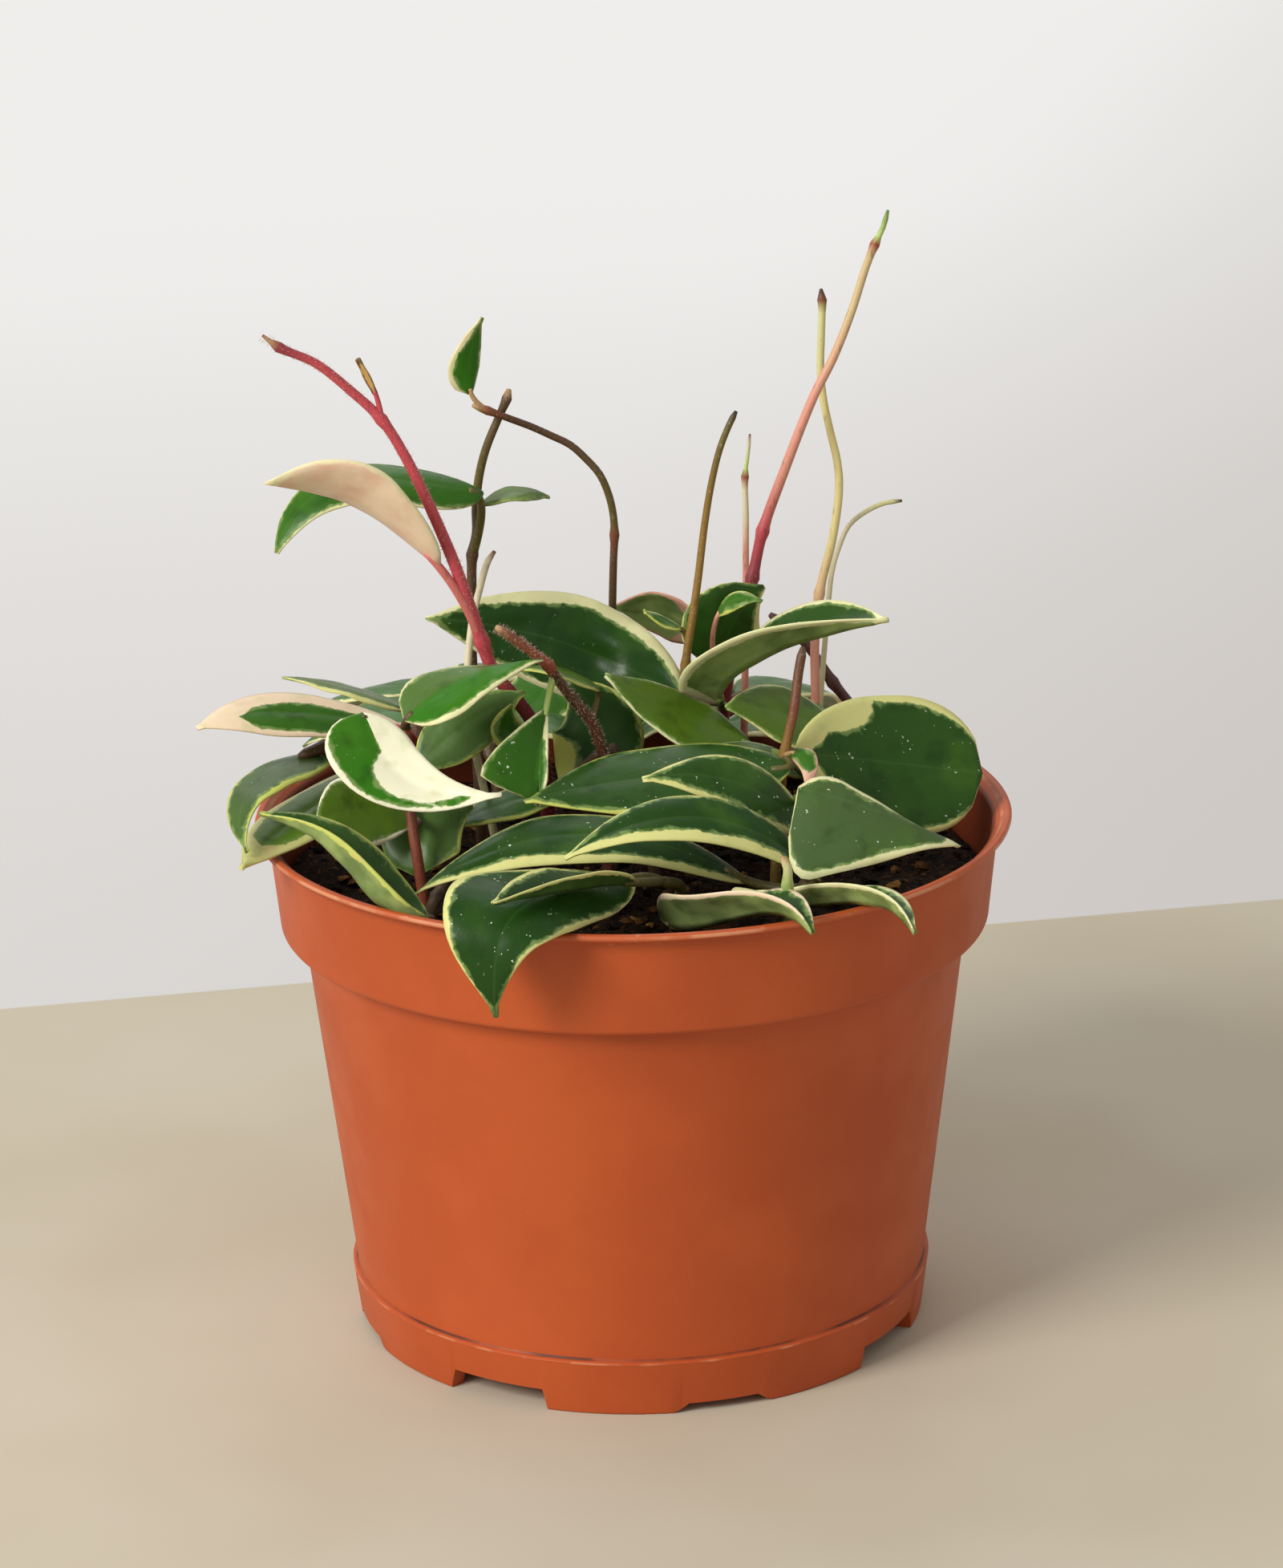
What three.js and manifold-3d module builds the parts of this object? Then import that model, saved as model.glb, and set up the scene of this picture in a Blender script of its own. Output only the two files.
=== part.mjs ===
// A potted hoya with cream-edged leaves, as it stands on a table: a 15 cm nursery pot of terracotta-coloured
// plastic, the soil that fills it, and the rooted vines with their petioles and leaves.
// Millimetres, +Z up. Every place in this file is measured from the pot's axis, at the underside of its
// foot. The last lines then shift the whole plant, so that its own box is centred on X and Y.
// Seen from the front (from -Y), +X is to the right.
import * as THREE from "three";
import { mergeVertices } from "three/addons/utils/BufferGeometryUtils.js";
import Module from "manifold-3d";

const wasm = await Module();
wasm.setup();

const HAIR_GAP = 0.3; // clearance between solids that touch on the real plant
const WELD = 1e-4; // vertices closer than this are one vertex

const POT = {
  footInner: 54.5,
  footOuter: 57.9,
  footTop: 59.3,
  footHeight: 11,
  seam: 59.8, // thin moulding seam round the top of the foot
  bodyBottom: 58.3,
  bodyTop: 66.9,
  bandBottom: 84.8, // height where the rim band starts
  bandLower: 71.35,
  bandUpper: 73.3,
  lip: 76,
  height: 106.3,
  wall: 1.2,
  floorUnder: 4.6,
  floorTop: 6.2,
  sides: 48,
};
// Notches through the foot, by their angle from the front in degrees (plus to the right).
const NOTCHES = {
  deep: { angles: [-30, 60, 150, 240], width: 19, height: 4.3, slope: 1.5 },
  shallow: { angles: [16, 106, 196, 286], width: 14, height: 2, slope: 3 },
};
const NOTCH_DEPTH = 14;
const DRAIN = { count: 8, circle: 38, radius: 4.5, sides: 12 };

const SOIL = { surface: 94, bump: 0.9, edge: 70.2, sides: 32, rings: 5, holeSides: 8 };
const STEM = { foot: 80, straight: 97, sides: 6, step: 11 };
const PETIOLE = { radii: [1.05, 0.8], sides: 4, steps: 3, sunk: 0.07, bend: 0.3, full: 28, least: 0.6 };
const BLADE = {
  thickness: 0.8,
  cell: 9, // length of a cell along the rib
  cells: [3, 6], // fewest and most of them
  slender: 24, // a leaf shorter than this has two cells across, not four
  leastHalfWidth: 0.5,
  cup: 12,
  belly: 0.42,
  shoulder: 0.62, // how full the base is: a smaller power is fuller
  taper: 1.1,
  mitre: 0.6, // least share by which a sharp fold is thickened along its crease
};

const COLOURS = {
  pot: { color: 0xb4512f, roughness: 0.45 },
  soil: { color: 0x2b1d16, roughness: 0.95 },
  leaf: { color: 0x3c5f33, roughness: 0.35 },
  pink: { color: 0xb06a66, roughness: 0.6 },
  brown: { color: 0x54402f, roughness: 0.7 },
  pale: { color: 0xb9b98b, roughness: 0.6 },
};

// The vines, from left to right and front to back. A vine stands in the soil at its root (x, y), rises
// straight and then follows its route; radii are those of its stem at the root and at the tip. A leaf
// grows from the route point of its number, and its rib runs through 3 or 4 points from base to tip.
// side is the vector from the rib to the leaf's right edge, seen on the upper surface with the tip ahead,
// and a second one is its value at the tip. left is the same for the left edge of a folded or lopsided
// leaf, and otherwise the opposite of side. cup is the angle by which the edges bend down (minus: up),
// belly the place of the widest point along the rib, and a small taper makes a round tip. bend is how far
// the petiole bows.
const VINES = [
  {
    node: "pink_vine",
    bark: "pink",
    radii: [1.7, 0.8],
    root: [-17, 7],
    route: [
      [-19.2, 0, 123.5], [-27.2, -4, 136.9], [-29.2, -5, 143.2], [-32.1, -7, 153.4],
      [-34.4, -8, 160.9], [-39, -9, 173.1], [-43.7, -9, 183.5], [-47.4, -9, 189.6],
      [-53.2, -9.5, 195.6], [-59.7, -11, 201.5], [-66.6, -12, 205], [-69.6, -12, 207.4],
    ],
    leaves: [
      { from: 2, rib: [[-37, -9, 160], [-48, -10, 171], [-58, -12, 177], [-70, -16, 179]],
        side: [[-1.5, 9, -6.5]], cup: -30, belly: 0.55 },
      { from: 7, rib: [[-48.4, -9, 194.8], [-49.9, -9, 198.1], [-51.6, -10, 202]],
        side: [[-0.5, 0, -0.5]], cup: 60 },
      { from: 0, rib: [[-22.1, -12, 123.4], [-24.6, -12, 127.9], [-23.4, -12, 132.3]],
        side: [[3, 2, -0.5]], cup: 8 },
    ],
  },
  {
    node: "dark_vine",
    bark: "brown",
    radii: [1.4, 0.8],
    root: [-31, 16],
    route: [
      [-32.4, 25, 134.5], [-32, 25, 145.7], [-31.7, 25, 152.8], [-30.7, 24, 157.7],
      [-30.6, 23.5, 163.5], [-29.9, 23, 169.2], [-28.3, 22, 175.5], [-25.5, 22, 182.1],
      [-23.8, 22, 185.9], [-23.3, 22, 187.8],
    ],
    leaves: [
      { from: 2, rib: [[-29, 20, 167], [-44, 15, 171], [-59, 11, 171], [-70, 6, 159]],
        side: [[0, 6, 2.5], [-5.5, 5, 2]],
        left: [[0, -6, -4], [6, -5, -1.5]], belly: 0.35, taper: 0.8, bend: 0.1 },
      { from: 4, rib: [[-29.8, 26, 162.7], [-22.9, 30, 164.7], [-16, 34, 162.2]],
        side: [[0.5, -5, 0]], cup: 20 },
    ],
  },
  {
    node: "arching_vine",
    bark: "brown",
    radii: [0.95, 0.7],
    root: [-4, 26],
    route: [
      [-3.9, 26, 123.4], [-3.5, 25.5, 140.6], [-3.1, 25, 150.9], [-2.8, 25, 156.4],
      [-2.9, 24.6, 160.2], [-3.7, 24, 164.8], [-5.5, 23.4, 169.5], [-8.2, 23, 172.9],
      [-11.3, 22.4, 176], [-15.1, 21.6, 178.2], [-18.9, 20.6, 180.3], [-23.2, 19.6, 182.3],
      [-27.6, 18.6, 184.3], [-30.6, 18, 185.6],
    ],
    leaves: [
      { from: 12, rib: [[-30.9, 18, 187.9], [-31, 18, 195.1], [-28.2, 18, 203.4]],
        side: [[2, 2, -1], [2, 2, -1.5]], left: [[-5.5, -2, -0.5], [-1, -2, 1.5]], cup: 10, belly: 0.4 },
      { from: 0, rib: [[-8, 30, 109], [-20, 34, 115], [-32, 35, 112]],
        side: [[0, 9, 0]], cup: 10 },
      { from: 0, rib: [[0, 30, 110], [10, 34, 116], [20, 32, 113]],
        side: [[0, -8, 0]], cup: 10 },
    ],
  },
  {
    node: "pale_stub",
    bark: "pale",
    radii: [0.9, 0.7],
    root: [-27, -6],
    route: [
      [-32.5, 0, 128.5], [-31.5, 4, 144], [-29.8, 6, 150.8], [-27.9, 7, 156.6], [-26.6, 7, 158.4],
    ],
    leaves: [],
  },
  {
    node: "hairy_stem",
    bark: "brown",
    radii: [1.4, 0.9],
    root: [-5, -4],
    route: [
      [-6, -8, 121], [-8, -10, 128], [-12, -12, 134], [-15, -14, 139], [-16, -15, 141],
      [-21, -17, 146], [-26, -18, 150],
    ],
    leaves: [
      { from: 0, rib: [[-14.3, -1, 111.6], [-6.9, 5, 122.3], [-13.1, 8, 131.1]],
        side: [[9.5, 0, 0.5]], cup: 8 },
      { from: 3, rib: [[-16.7, -15, 132.1], [-17.9, -21, 124], [-18.2, -26, 115.6]],
        side: [[-3, -3, 0], [-14, -8, -0.5]],
        left: [[1.5, 0, 0], [1.5, -2, 0.5]], cup: 8, belly: 0.7, taper: 2.0 },
      { from: 1, rib: [[-5.8, -3, 131.9], [-13.7, -4, 136.4], [-23.2, -5, 137.3]],
        side: [[0, 6, -1]], cup: 8, bend: 0 },
    ],
  },
  {
    node: "olive_stem",
    bark: "brown",
    radii: [1.1, 0.65],
    root: [10, 12],
    route: [
      [11.1, 11, 132.7], [12.9, 12, 144.2], [13.9, 13, 150.6], [15.4, 14, 161.7],
      [16.9, 14, 170.2], [18.6, 14, 176.9], [20.6, 14, 181.9], [21.9, 14, 184.4],
    ],
    leaves: [
      { from: 0, rib: [[10.4, 12, 140.2], [6.9, 11, 142.1], [2.9, 9, 144.9]],
        side: [[0, 2, 0.5]], cup: 10 },
      { from: 0, rib: [[10, 8, 127], [-14, 15, 137], [-41, 13, 143]],
        side: [[0, 4, 9.5]], cup: 8 },
    ],
  },
  {
    node: "tall_pink_vine",
    bark: "pink",
    radii: [1.5, 0.75],
    root: [18, 24],
    route: [
      [19, 24, 120.2], [21.6, 25, 133.5], [25.1, 27, 146.4], [27.3, 28, 155.9],
      [31.6, 28.5, 167.8], [37.9, 29, 183.6], [41.9, 30, 191.2], [45.7, 31, 200.5],
      [48.6, 32, 209.2], [50.4, 32, 213.8], [52.1, 33, 217], [53.1, 33, 220.5],
    ],
    leaves: [
      { from: 1, rib: [[15.9, 34, 132.3], [6.7, 38, 136.2], [-3.2, 40, 137]],
        side: [[0.5, 5, -6.5]], cup: 10 },
      { from: 1, rib: [[19.4, 21, 129.9], [20.5, 19, 138.7], [27.3, 21, 146.2]],
        side: [[5.5, 3, -3.5]], left: [[-9, -2, 4]], cup: 8 },
      { from: 0, rib: [[17.7, 14, 142.3], [20.9, 12, 145.9], [26.5, 9, 146.5]],
        side: [[0.5, -2, -1]], cup: 20 },
      { from: 0, rib: [[18, 12, 124], [22, 4, 134], [35, -2, 142], [51, -8, 147]],
        side: [[-8.5, -8, 9], [0.5, -4, 4.5]],
        left: [[-0.5, 8, -1.5], [0.5, 6, 11.5]], cup: 10, belly: 0.45, bend: 0.15 },
    ],
  },
  {
    node: "pale_back_stem",
    bark: "pale",
    radii: [0.9, 0.6],
    root: [23, 36],
    route: [
      [23.9, 36, 137.1], [24, 36, 149.1], [24.1, 36, 157.6], [24, 36, 165.3], [24.5, 36, 169],
      [25.1, 36, 174.2],
    ],
    leaves: [],
  },
  {
    node: "pale_vine",
    bark: "pale",
    radii: [1.1, 0.75],
    root: [37, 28],
    route: [
      [37.9, 30, 118], [37.9, 31, 131.4], [38.9, 32, 141.4], [41.8, 33, 153.3], [43.1, 34, 162.8],
      [42.8, 34.5, 168.4], [41.4, 35, 174.7], [40.1, 35, 181.1], [39.5, 35, 187.3],
      [39.7, 35, 194.7], [39.9, 35, 202], [39.7, 35, 204.3],
    ],
    leaves: [
      { from: 0, rib: [[42, 12, 117], [30, 9, 123], [19, 4, 126]],
        side: [[2, 9, 2.5]], cup: 8 },
    ],
  },
  {
    node: "tendril",
    bark: "pale",
    radii: [0.7, 0.5],
    root: [38, 38],
    route: [
      [40.8, 37, 136.5], [41.8, 37, 145.1], [43.2, 38, 149.5], [45.3, 38, 154.1],
      [48.8, 39, 156.7], [52.8, 40, 158.2], [56.3, 40, 158.6],
    ],
    leaves: [],
  },
  {
    node: "right_stem",
    bark: "brown",
    radii: [1.15, 0.95],
    root: [28, -17],
    route: [
      [29, -16, 112], [30, -16, 122], [32, -15, 131], [33, -13, 138], [34, -12, 143],
    ],
    leaves: [
      { from: 1, rib: [[32, -14, 122], [51, -6, 117], [70, -2, 113]],
        side: [[-1.5, -8, -12]], cup: 8, belly: 0.62, taper: 0.45 },
      { from: 1, rib: [[31.4, -20, 123.9], [34.1, -25, 122.5], [33.7, -27, 117.9]],
        side: [[-1.5, 0, -1], [-1.5, 0, 0]],
        left: [[2.5, 0, 1.5], [2.5, 0, 0]], cup: 20, belly: 0.3, bend: 0 },
      { from: 0, rib: [[32, -37, 122], [48, -41, 118], [63, -38, 110]],
        side: [[-5, -15, -15.5], [4.5, -3, -1.5]],
        left: [[1.5, 4, 4], [0, 2, -2.5]], cup: 8, belly: 0.25, taper: 0.65, bend: -0.2 },
      { from: 1, rib: [[24, 0, 119], [10, -2, 126], [-5, -5, 136]],
        side: [[1.5, 8, 2.5]], cup: 8 },
      { from: 1, rib: [[31, -22, 121], [5, -22, 120], [-21, -30, 118]],
        side: [[0, 10, 4]] },
      { from: 1, rib: [[34.4, -11, 115.7], [25, -8, 120.2], [15.5, -6, 121.1]],
        side: [[1, 5, 0.5]], cup: 8 },
    ],
  },
  {
    node: "dark_back_vine",
    bark: "brown",
    radii: [1.2, 1.0],
    root: [47, 41],
    route: [
      [48, 42, 100], [46, 43, 113], [42, 43, 119], [36, 43, 128], [29, 43, 134],
    ],
    leaves: [],
  },
  {
    node: "front_stub",
    bark: "pale",
    radii: [1.1, 0.9],
    root: [28, -56],
    route: [
      [30, -59, 106], [29, -62, 111], [29, -63, 115], [28, -63, 117],
    ],
    leaves: [
      { from: 0, rib: [[5, -46, 99], [15, -57, 102], [25, -65, 107], [33, -78, 107]],
        side: [[-0.5, -6, 10], [1, -5, 4]],
        left: [[0, 8, -2], [3, 6, 6]], cup: 10, belly: 0.36, taper: 0.9 },
      { from: 0, rib: [[19, -46, 104], [32, -53, 104], [44, -63, 108], [52, -79, 107]],
        side: [[0, -4, 5.5], [0.5, -4, 3.5]],
        left: [[0, 6, -1], [1.5, 5, 2.5]], cup: 10, belly: 0.45, taper: 0.9 },
    ],
  },
  {
    node: "left_vine",
    bark: "brown",
    radii: [1.5, 1.2],
    root: [-37, 6],
    route: [
      [-37, 6, 105], [-44, 4, 116], [-51, 2, 120], [-57, -2, 122], [-61, -5, 122], [-66, -8, 121],
    ],
    leaves: [
      { from: 1, rib: [[-45, -4, 125], [-58, -8, 129], [-72, -14, 132], [-85, -20, 131]],
        side: [[-0.5, 6, 2.5]], cup: 8, belly: 0.55 },
      { from: 1, rib: [[-45, 12, 124], [-58, 12, 129], [-70, 10, 132]],
        side: [[-0.5, 7, -1]], cup: 8 },
      { from: 2, rib: [[-60, -4, 120], [-70, -14, 120], [-76, -24, 117], [-75, -34, 110]],
        side: [[-1, 8, 0.5], [-3.5, 3, 0]], cup: 15, belly: 0.45 },
      { from: 1, rib: [[-49, 0, 117], [-65, -14, 111], [-76, -38, 108]],
        side: [[-2.5, 7, 1.5]], taper: 1.3 },
    ],
  },
  {
    node: "front_left_stem",
    bark: "brown",
    radii: [1.2, 1.0],
    root: [-41, -32],
    route: [
      [-42, -31, 106], [-43, -29, 113], [-44, -25, 123], [-44, -22, 131],
    ],
    leaves: [
      { from: 3, rib: [[-44, -24, 133], [-33, -21, 140], [-17, -18, 143]],
        side: [[2, -9, -3], [1.5, -7, -1.5]],
        left: [[-5, 7, 4.5], [0.5, 5, -3]], cup: 6, belly: 0.3, bend: 0 },
      { from: 2, rib: [[-42, -12, 120], [-33, -9, 127], [-21, -6, 133]],
        side: [[3.5, -3, -4]], cup: 8 },
      { from: 2, rib: [[-52, -28, 136], [-49, -33, 130], [-41, -38, 124], [-25, -44, 124]],
        side: [[-11.5, -6, 0], [-2.5, -5, -4.5]],
        left: [[6.5, 3, 1], [3.5, 2, 5.5]], cup: 8, belly: 0.4, bend: 0 },
      { from: 0, rib: [[-42.5, -27, 102.1], [-41.2, -24, 108.4], [-31.5, -18, 113.2]],
        side: [[5.5, -4, -3.5]], left: [[-8.5, 4, 2.5]], cup: 8, belly: 0.45 },
      { from: 1, rib: [[-42.3, -23, 112.4], [-52.3, -27, 115.9], [-61.8, -35, 115.7]],
        side: [[0, 6, 5]], cup: 8, belly: 0.55, taper: 1.5 },
    ],
  },
  {
    node: "centre_vine",
    bark: "brown",
    radii: [1.4, 1.1],
    root: [4, -8],
    route: [
      [0, -8, 110], [-4, -3, 121],
    ],
    leaves: [
      { from: 0, rib: [[-14.1, -12, 113.6], [-23.7, -13, 112.4], [-36.4, -17, 108.1]],
        side: [[1, 6, 1.5]], cup: 8 },
    ],
  },
  {
    node: "front_vine",
    bark: "brown",
    radii: [1.3, 1.1],
    root: [8, -37],
    route: [
      [9, -39, 103], [5, -44, 106],
    ],
    leaves: [
      { from: 1, rib: [[0, -50, 109], [-13, -64, 111], [-23, -79, 111], [-26, -82, 93]],
        side: [[0, 12, 1], [-23.5, 2, 6.5]],
        left: [[0, -9, -3.5], [12, -2, -4.5]], cup: 8, belly: 0.45, taper: 1.3 },
      { from: 1, rib: [[0, -56, 110], [-14, -70, 114], [-26, -84, 116]],
        side: [[0, 7, -0.5], [-2.5, 4, 4.5]], left: [[0, -4, 4], [0, -2, 1.5]], cup: 10, taper: 1.0 },
    ],
  },
  {
    node: "front_right_vine",
    bark: "brown",
    radii: [1.4, 1.1],
    root: [32, -38],
    route: [
      [33, -38, 102], [35, -34, 106],
    ],
    leaves: [
      { from: 1, rib: [[34, -30, 110], [20, -36, 123], [2, -42, 126]],
        side: [[1.5, 5, 3.5]] },
      { from: 0, rib: [[36, -42, 105], [12, -48, 120], [-13, -56, 115]],
        side: [[1, 5, 3]], left: [[-0.5, -5, -2.5]], belly: 0.5, taper: 1.0 },
      { from: 0, rib: [[22, -34, 102], [-17, -41, 114], [-42, -46, 105]],
        side: [[0.5, 7, 2.5]], belly: 0.55 },
    ],
  },
  {
    node: "rim_vine",
    bark: "brown",
    radii: [1.3, 1.1],
    root: [-33, -38],
    route: [
      [-36, -36, 104], [-38, -42, 103], [-40, -52, 102],
    ],
    leaves: [
      { from: 2, rib: [[-39, -58, 104], [-49, -56, 108], [-57, -54, 117], [-71, -50, 123]],
        side: [[4.5, 9, 3.5], [3, 7, 3.5]], left: [[2.5, -4, 5], [1.5, -3, 3.5]], cup: 8 },
    ],
  },
  {
    node: "back_left_vine",
    bark: "brown",
    radii: [1.5, 1.0],
    root: [-28, 38],
    route: [
      [-30, 42, 106], [-35, 50, 113], [-41, 59, 115], [-47, 68, 110],
    ],
    leaves: [
      { from: 0, rib: [[-25, 45, 109], [-15, 56, 119], [-10, 66, 125]],
        side: [[8, -6, 0]], cup: 10 },
      { from: 1, rib: [[-38, 48, 112], [-53, 48, 113], [-69, 46, 106]],
        side: [[0, 11, 0]], cup: 10 },
      { from: 1, rib: [[-32, 56, 116], [-28, 70, 116], [-24, 86, 103]],
        side: [[9.5, -2.5, 0]], cup: 10 },
      { from: 2, rib: [[-45, 62, 113], [-58, 73, 110], [-66, 87, 97]],
        side: [[9, 8, 0]], cup: 10 },
      { from: 3, rib: [[-48, 72, 108], [-45, 87, 101], [-39, 99, 85]],
        side: [[11, -3, 0]], cup: 10 },
    ],
  },
  {
    node: "back_right_vine",
    bark: "pale",
    radii: [1.3, 1.0],
    root: [13, 46],
    route: [
      [14, 48, 105], [18, 56, 110], [22, 66, 111], [25, 75, 106],
    ],
    leaves: [
      { from: 0, rib: [[18, 49, 107], [32, 51, 109], [47, 53, 105]],
        side: [[2.5, -9, 0]], cup: 10 },
      { from: 0, rib: [[10, 50, 109], [2, 58, 116], [1, 69, 119]],
        side: [[10.5, 1, 0]], cup: 10 },
      { from: 1, rib: [[14, 60, 112], [5, 72, 112], [-2, 87, 101]],
        side: [[10, 7, 0]], cup: 10 },
      { from: 1, rib: [[22, 60, 111], [34, 70, 111], [44, 83, 99]],
        side: [[7.5, -7, 0]], cup: 10 },
      { from: 3, rib: [[25, 78, 105], [22, 91, 99], [17, 104, 86]],
        side: [[9, 2, 0]], cup: 10 },
    ],
  },
];

// --- solids -------------------------------------------------------------------------------------------

// A closed solid from a geometry: vertices welded, triangles without area dropped.
function solid(geometry) {
  const bare = geometry.clone();
  bare.deleteAttribute("normal");
  bare.deleteAttribute("uv");
  const welded = mergeVertices(bare, WELD);
  const corners = welded.index.array;
  const kept = [];
  for (let i = 0; i < corners.length; i += 3) {
    const [a, b, c] = corners.slice(i, i + 3);
    if (a !== b && b !== c && c !== a) kept.push(a, b, c);
  }
  const mesh = new wasm.Mesh({
    numProp: 3,
    vertProperties: Float32Array.from(welded.attributes.position.array),
    triVerts: Uint32Array.from(kept),
  });
  return new wasm.Manifold(mesh);
}

function meshOf(name, body, look) {
  const { vertProperties, triVerts, numProp, numVert } = body.getMesh();
  const places = new Float32Array(numVert * 3);
  for (let i = 0; i < numVert; i++) {
    places.set(vertProperties.subarray(i * numProp, i * numProp + 3), i * 3);
  }
  const geometry = new THREE.BufferGeometry();
  geometry.setAttribute("position", new THREE.BufferAttribute(places, 3));
  geometry.setIndex(new THREE.BufferAttribute(triVerts, 1));
  const flat = geometry.toNonIndexed();
  flat.computeVertexNormals();
  const mesh = new THREE.Mesh(flat, new THREE.MeshStandardMaterial({ metalness: 0, ...look }));
  mesh.name = name;
  return mesh;
}

// A solid of revolution about Z from [radius, height] pairs that start and end on the axis.
function turned(profile, sides) {
  const points = profile.map(([radius, height]) => new THREE.Vector2(radius, height));
  return new THREE.LatheGeometry(points, sides).rotateX(Math.PI / 2);
}

// An upright rod between two heights.
function rod(x, y, radius, low, high, sides) {
  const geometry = new THREE.CylinderGeometry(radius, radius, high - low, sides);
  return solid(geometry.rotateX(Math.PI / 2).translate(x, y, (low + high) / 2));
}

// A tapering tube with closed ends along a curve: a cylinder bent to it.
function tube(curve, radii, sides, steps) {
  const geometry = new THREE.CylinderGeometry(1, 1, 1, sides, steps).rotateX(Math.PI / 2);
  const frames = curve.computeFrenetFrames(steps);
  const place = geometry.attributes.position;
  for (let i = 0; i < place.count; i++) {
    const step = Math.round((place.getZ(i) + 0.5) * steps);
    const radius = THREE.MathUtils.lerp(radii[0], radii[1], step / steps);
    const point = curve
      .getPointAt(step / steps)
      .addScaledVector(frames.normals[step], place.getX(i) * radius)
      .addScaledVector(frames.binormals[step], place.getY(i) * radius);
    place.setXYZ(i, point.x, point.y, point.z);
  }
  return solid(geometry);
}

// --- pot and soil -------------------------------------------------------------------------------------

function notch(angle, { width, height, slope }) {
  const half = width / 2;
  const outline = new THREE.Shape();
  outline.moveTo(-half - slope, -1);
  outline.lineTo(half + slope, -1);
  outline.lineTo(half, height);
  outline.lineTo(-half, height);
  const cut = new THREE.ExtrudeGeometry(outline, { depth: NOTCH_DEPTH, bevelEnabled: false });
  cut.rotateX(Math.PI / 2).translate(0, -POT.footOuter + NOTCH_DEPTH / 2, 0);
  return solid(cut.rotateZ(THREE.MathUtils.degToRad(angle)));
}

function makePot() {
  const p = POT;
  const innerWall = [
    [p.lip - 1.5, p.height],
    [p.lip - 2.1, p.height - 0.7],
    [p.bandUpper - p.wall, p.height - 2.2],
    [p.bandLower - p.wall, p.bandBottom + 1.6],
    [p.bodyTop - p.wall, p.bandBottom + 0.4],
    [p.bodyBottom - p.wall, p.floorTop],
    [0, p.floorTop],
  ];
  const outside = [
    [0, p.floorUnder],
    [p.footInner - 0.9, p.floorUnder],
    [p.footInner, 0],
    [p.footOuter, 0],
    [p.footTop, p.footHeight],
    [p.seam, p.footHeight + 0.4],
    [p.bodyBottom, p.footHeight + 0.9],
    [p.bodyTop, p.bandBottom - 0.5],
    [p.bandLower - 0.7, p.bandBottom - 0.3],
    [p.bandLower, p.bandBottom + 0.5],
    [p.bandUpper, p.height - 1.8],
    [p.lip - 0.4, p.height - 1.4],
    [p.lip, p.height - 0.7],
    [p.lip - 0.4, p.height],
  ];
  let pot = solid(turned([...outside, ...innerWall], p.sides));
  for (const kind of Object.values(NOTCHES)) {
    for (const angle of kind.angles) pot = pot.subtract(notch(angle, kind));
  }
  const hole = (x, y) => rod(x, y, DRAIN.radius, p.floorUnder - 1, p.floorTop + 1, DRAIN.sides);
  pot = pot.subtract(hole(0, 0));
  for (let i = 0; i < DRAIN.count; i++) {
    const turn = (i / DRAIN.count) * 2 * Math.PI;
    pot = pot.subtract(hole(DRAIN.circle * Math.cos(turn), DRAIN.circle * Math.sin(turn)));
  }
  return pot;
}

// The soil's surface is uneven: two crossing waves, flat at the wall.
function lumps(x, y) {
  return SOIL.bump * (Math.sin(x / 5.1 + 1.3) * Math.cos(y / 6.3) + 0.6 * Math.sin((x + 2 * y) / 8.7));
}

function makeSoil() {
  const profile = [
    [0, POT.floorTop + HAIR_GAP],
    [POT.bodyBottom - POT.wall - HAIR_GAP, POT.floorTop + HAIR_GAP],
    [POT.bodyTop - POT.wall - 2 * HAIR_GAP, POT.bandBottom + 0.8],
    [POT.bandLower - POT.wall - 2 * HAIR_GAP, POT.bandBottom + 2.2],
    [SOIL.edge, SOIL.surface - 2],
  ];
  for (let ring = SOIL.rings; ring >= 0; ring--) {
    profile.push([(SOIL.edge * 0.95 * ring) / SOIL.rings, SOIL.surface]);
  }
  const geometry = turned(profile, SOIL.sides);
  const place = geometry.attributes.position;
  for (let i = 0; i < place.count; i++) {
    if (place.getZ(i) > SOIL.surface - 1) {
      place.setZ(i, place.getZ(i) + lumps(place.getX(i), place.getY(i)));
    }
  }
  let soil = solid(geometry);
  for (const { root, radii } of VINES) {
    const radius = (radii[0] + HAIR_GAP) / Math.cos(Math.PI / SOIL.holeSides);
    soil = soil.subtract(rod(...root, radius, STEM.foot - HAIR_GAP, POT.height, SOIL.holeSides));
  }
  return soil;
}

// --- vines --------------------------------------------------------------------------------------------

const vector = (numbers) => new THREE.Vector3(...numbers);

// The cubic curve through a rib's points: the middle one of three lies at its own share of the length.
function ribCurve(points) {
  const p = points.map(vector);
  const mix = (...terms) => terms.reduce((sum, [k, v]) => sum.addScaledVector(v, k), new THREE.Vector3());
  if (p.length === 4) {
    const early = mix([-5 / 6, p[0]], [3, p[1]], [-1.5, p[2]], [1 / 3, p[3]]);
    const late = mix([1 / 3, p[0]], [-1.5, p[1]], [3, p[2]], [-5 / 6, p[3]]);
    return new THREE.CubicBezierCurve3(p[0], early, late, p[3]);
  }
  const first = p[0].distanceTo(p[1]);
  const at = first / (first + p[1].distanceTo(p[2]));
  const weight = 1 / (2 * at * (1 - at));
  const pull = mix([weight, p[1]], [-weight * (1 - at) ** 2, p[0]], [-weight * at * at, p[2]]);
  return new THREE.QuadraticBezierCurve3(p[0], pull, p[2]);
}

// Half the width of a leaf at t along its rib, as a share of its widest.
function halfWidth(t, belly, taper) {
  if (t < belly) return (1 - ((belly - t) / belly) ** 2) ** BLADE.shoulder;
  return (1 - ((t - belly) / (1 - belly)) ** 2) ** taper;
}

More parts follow.
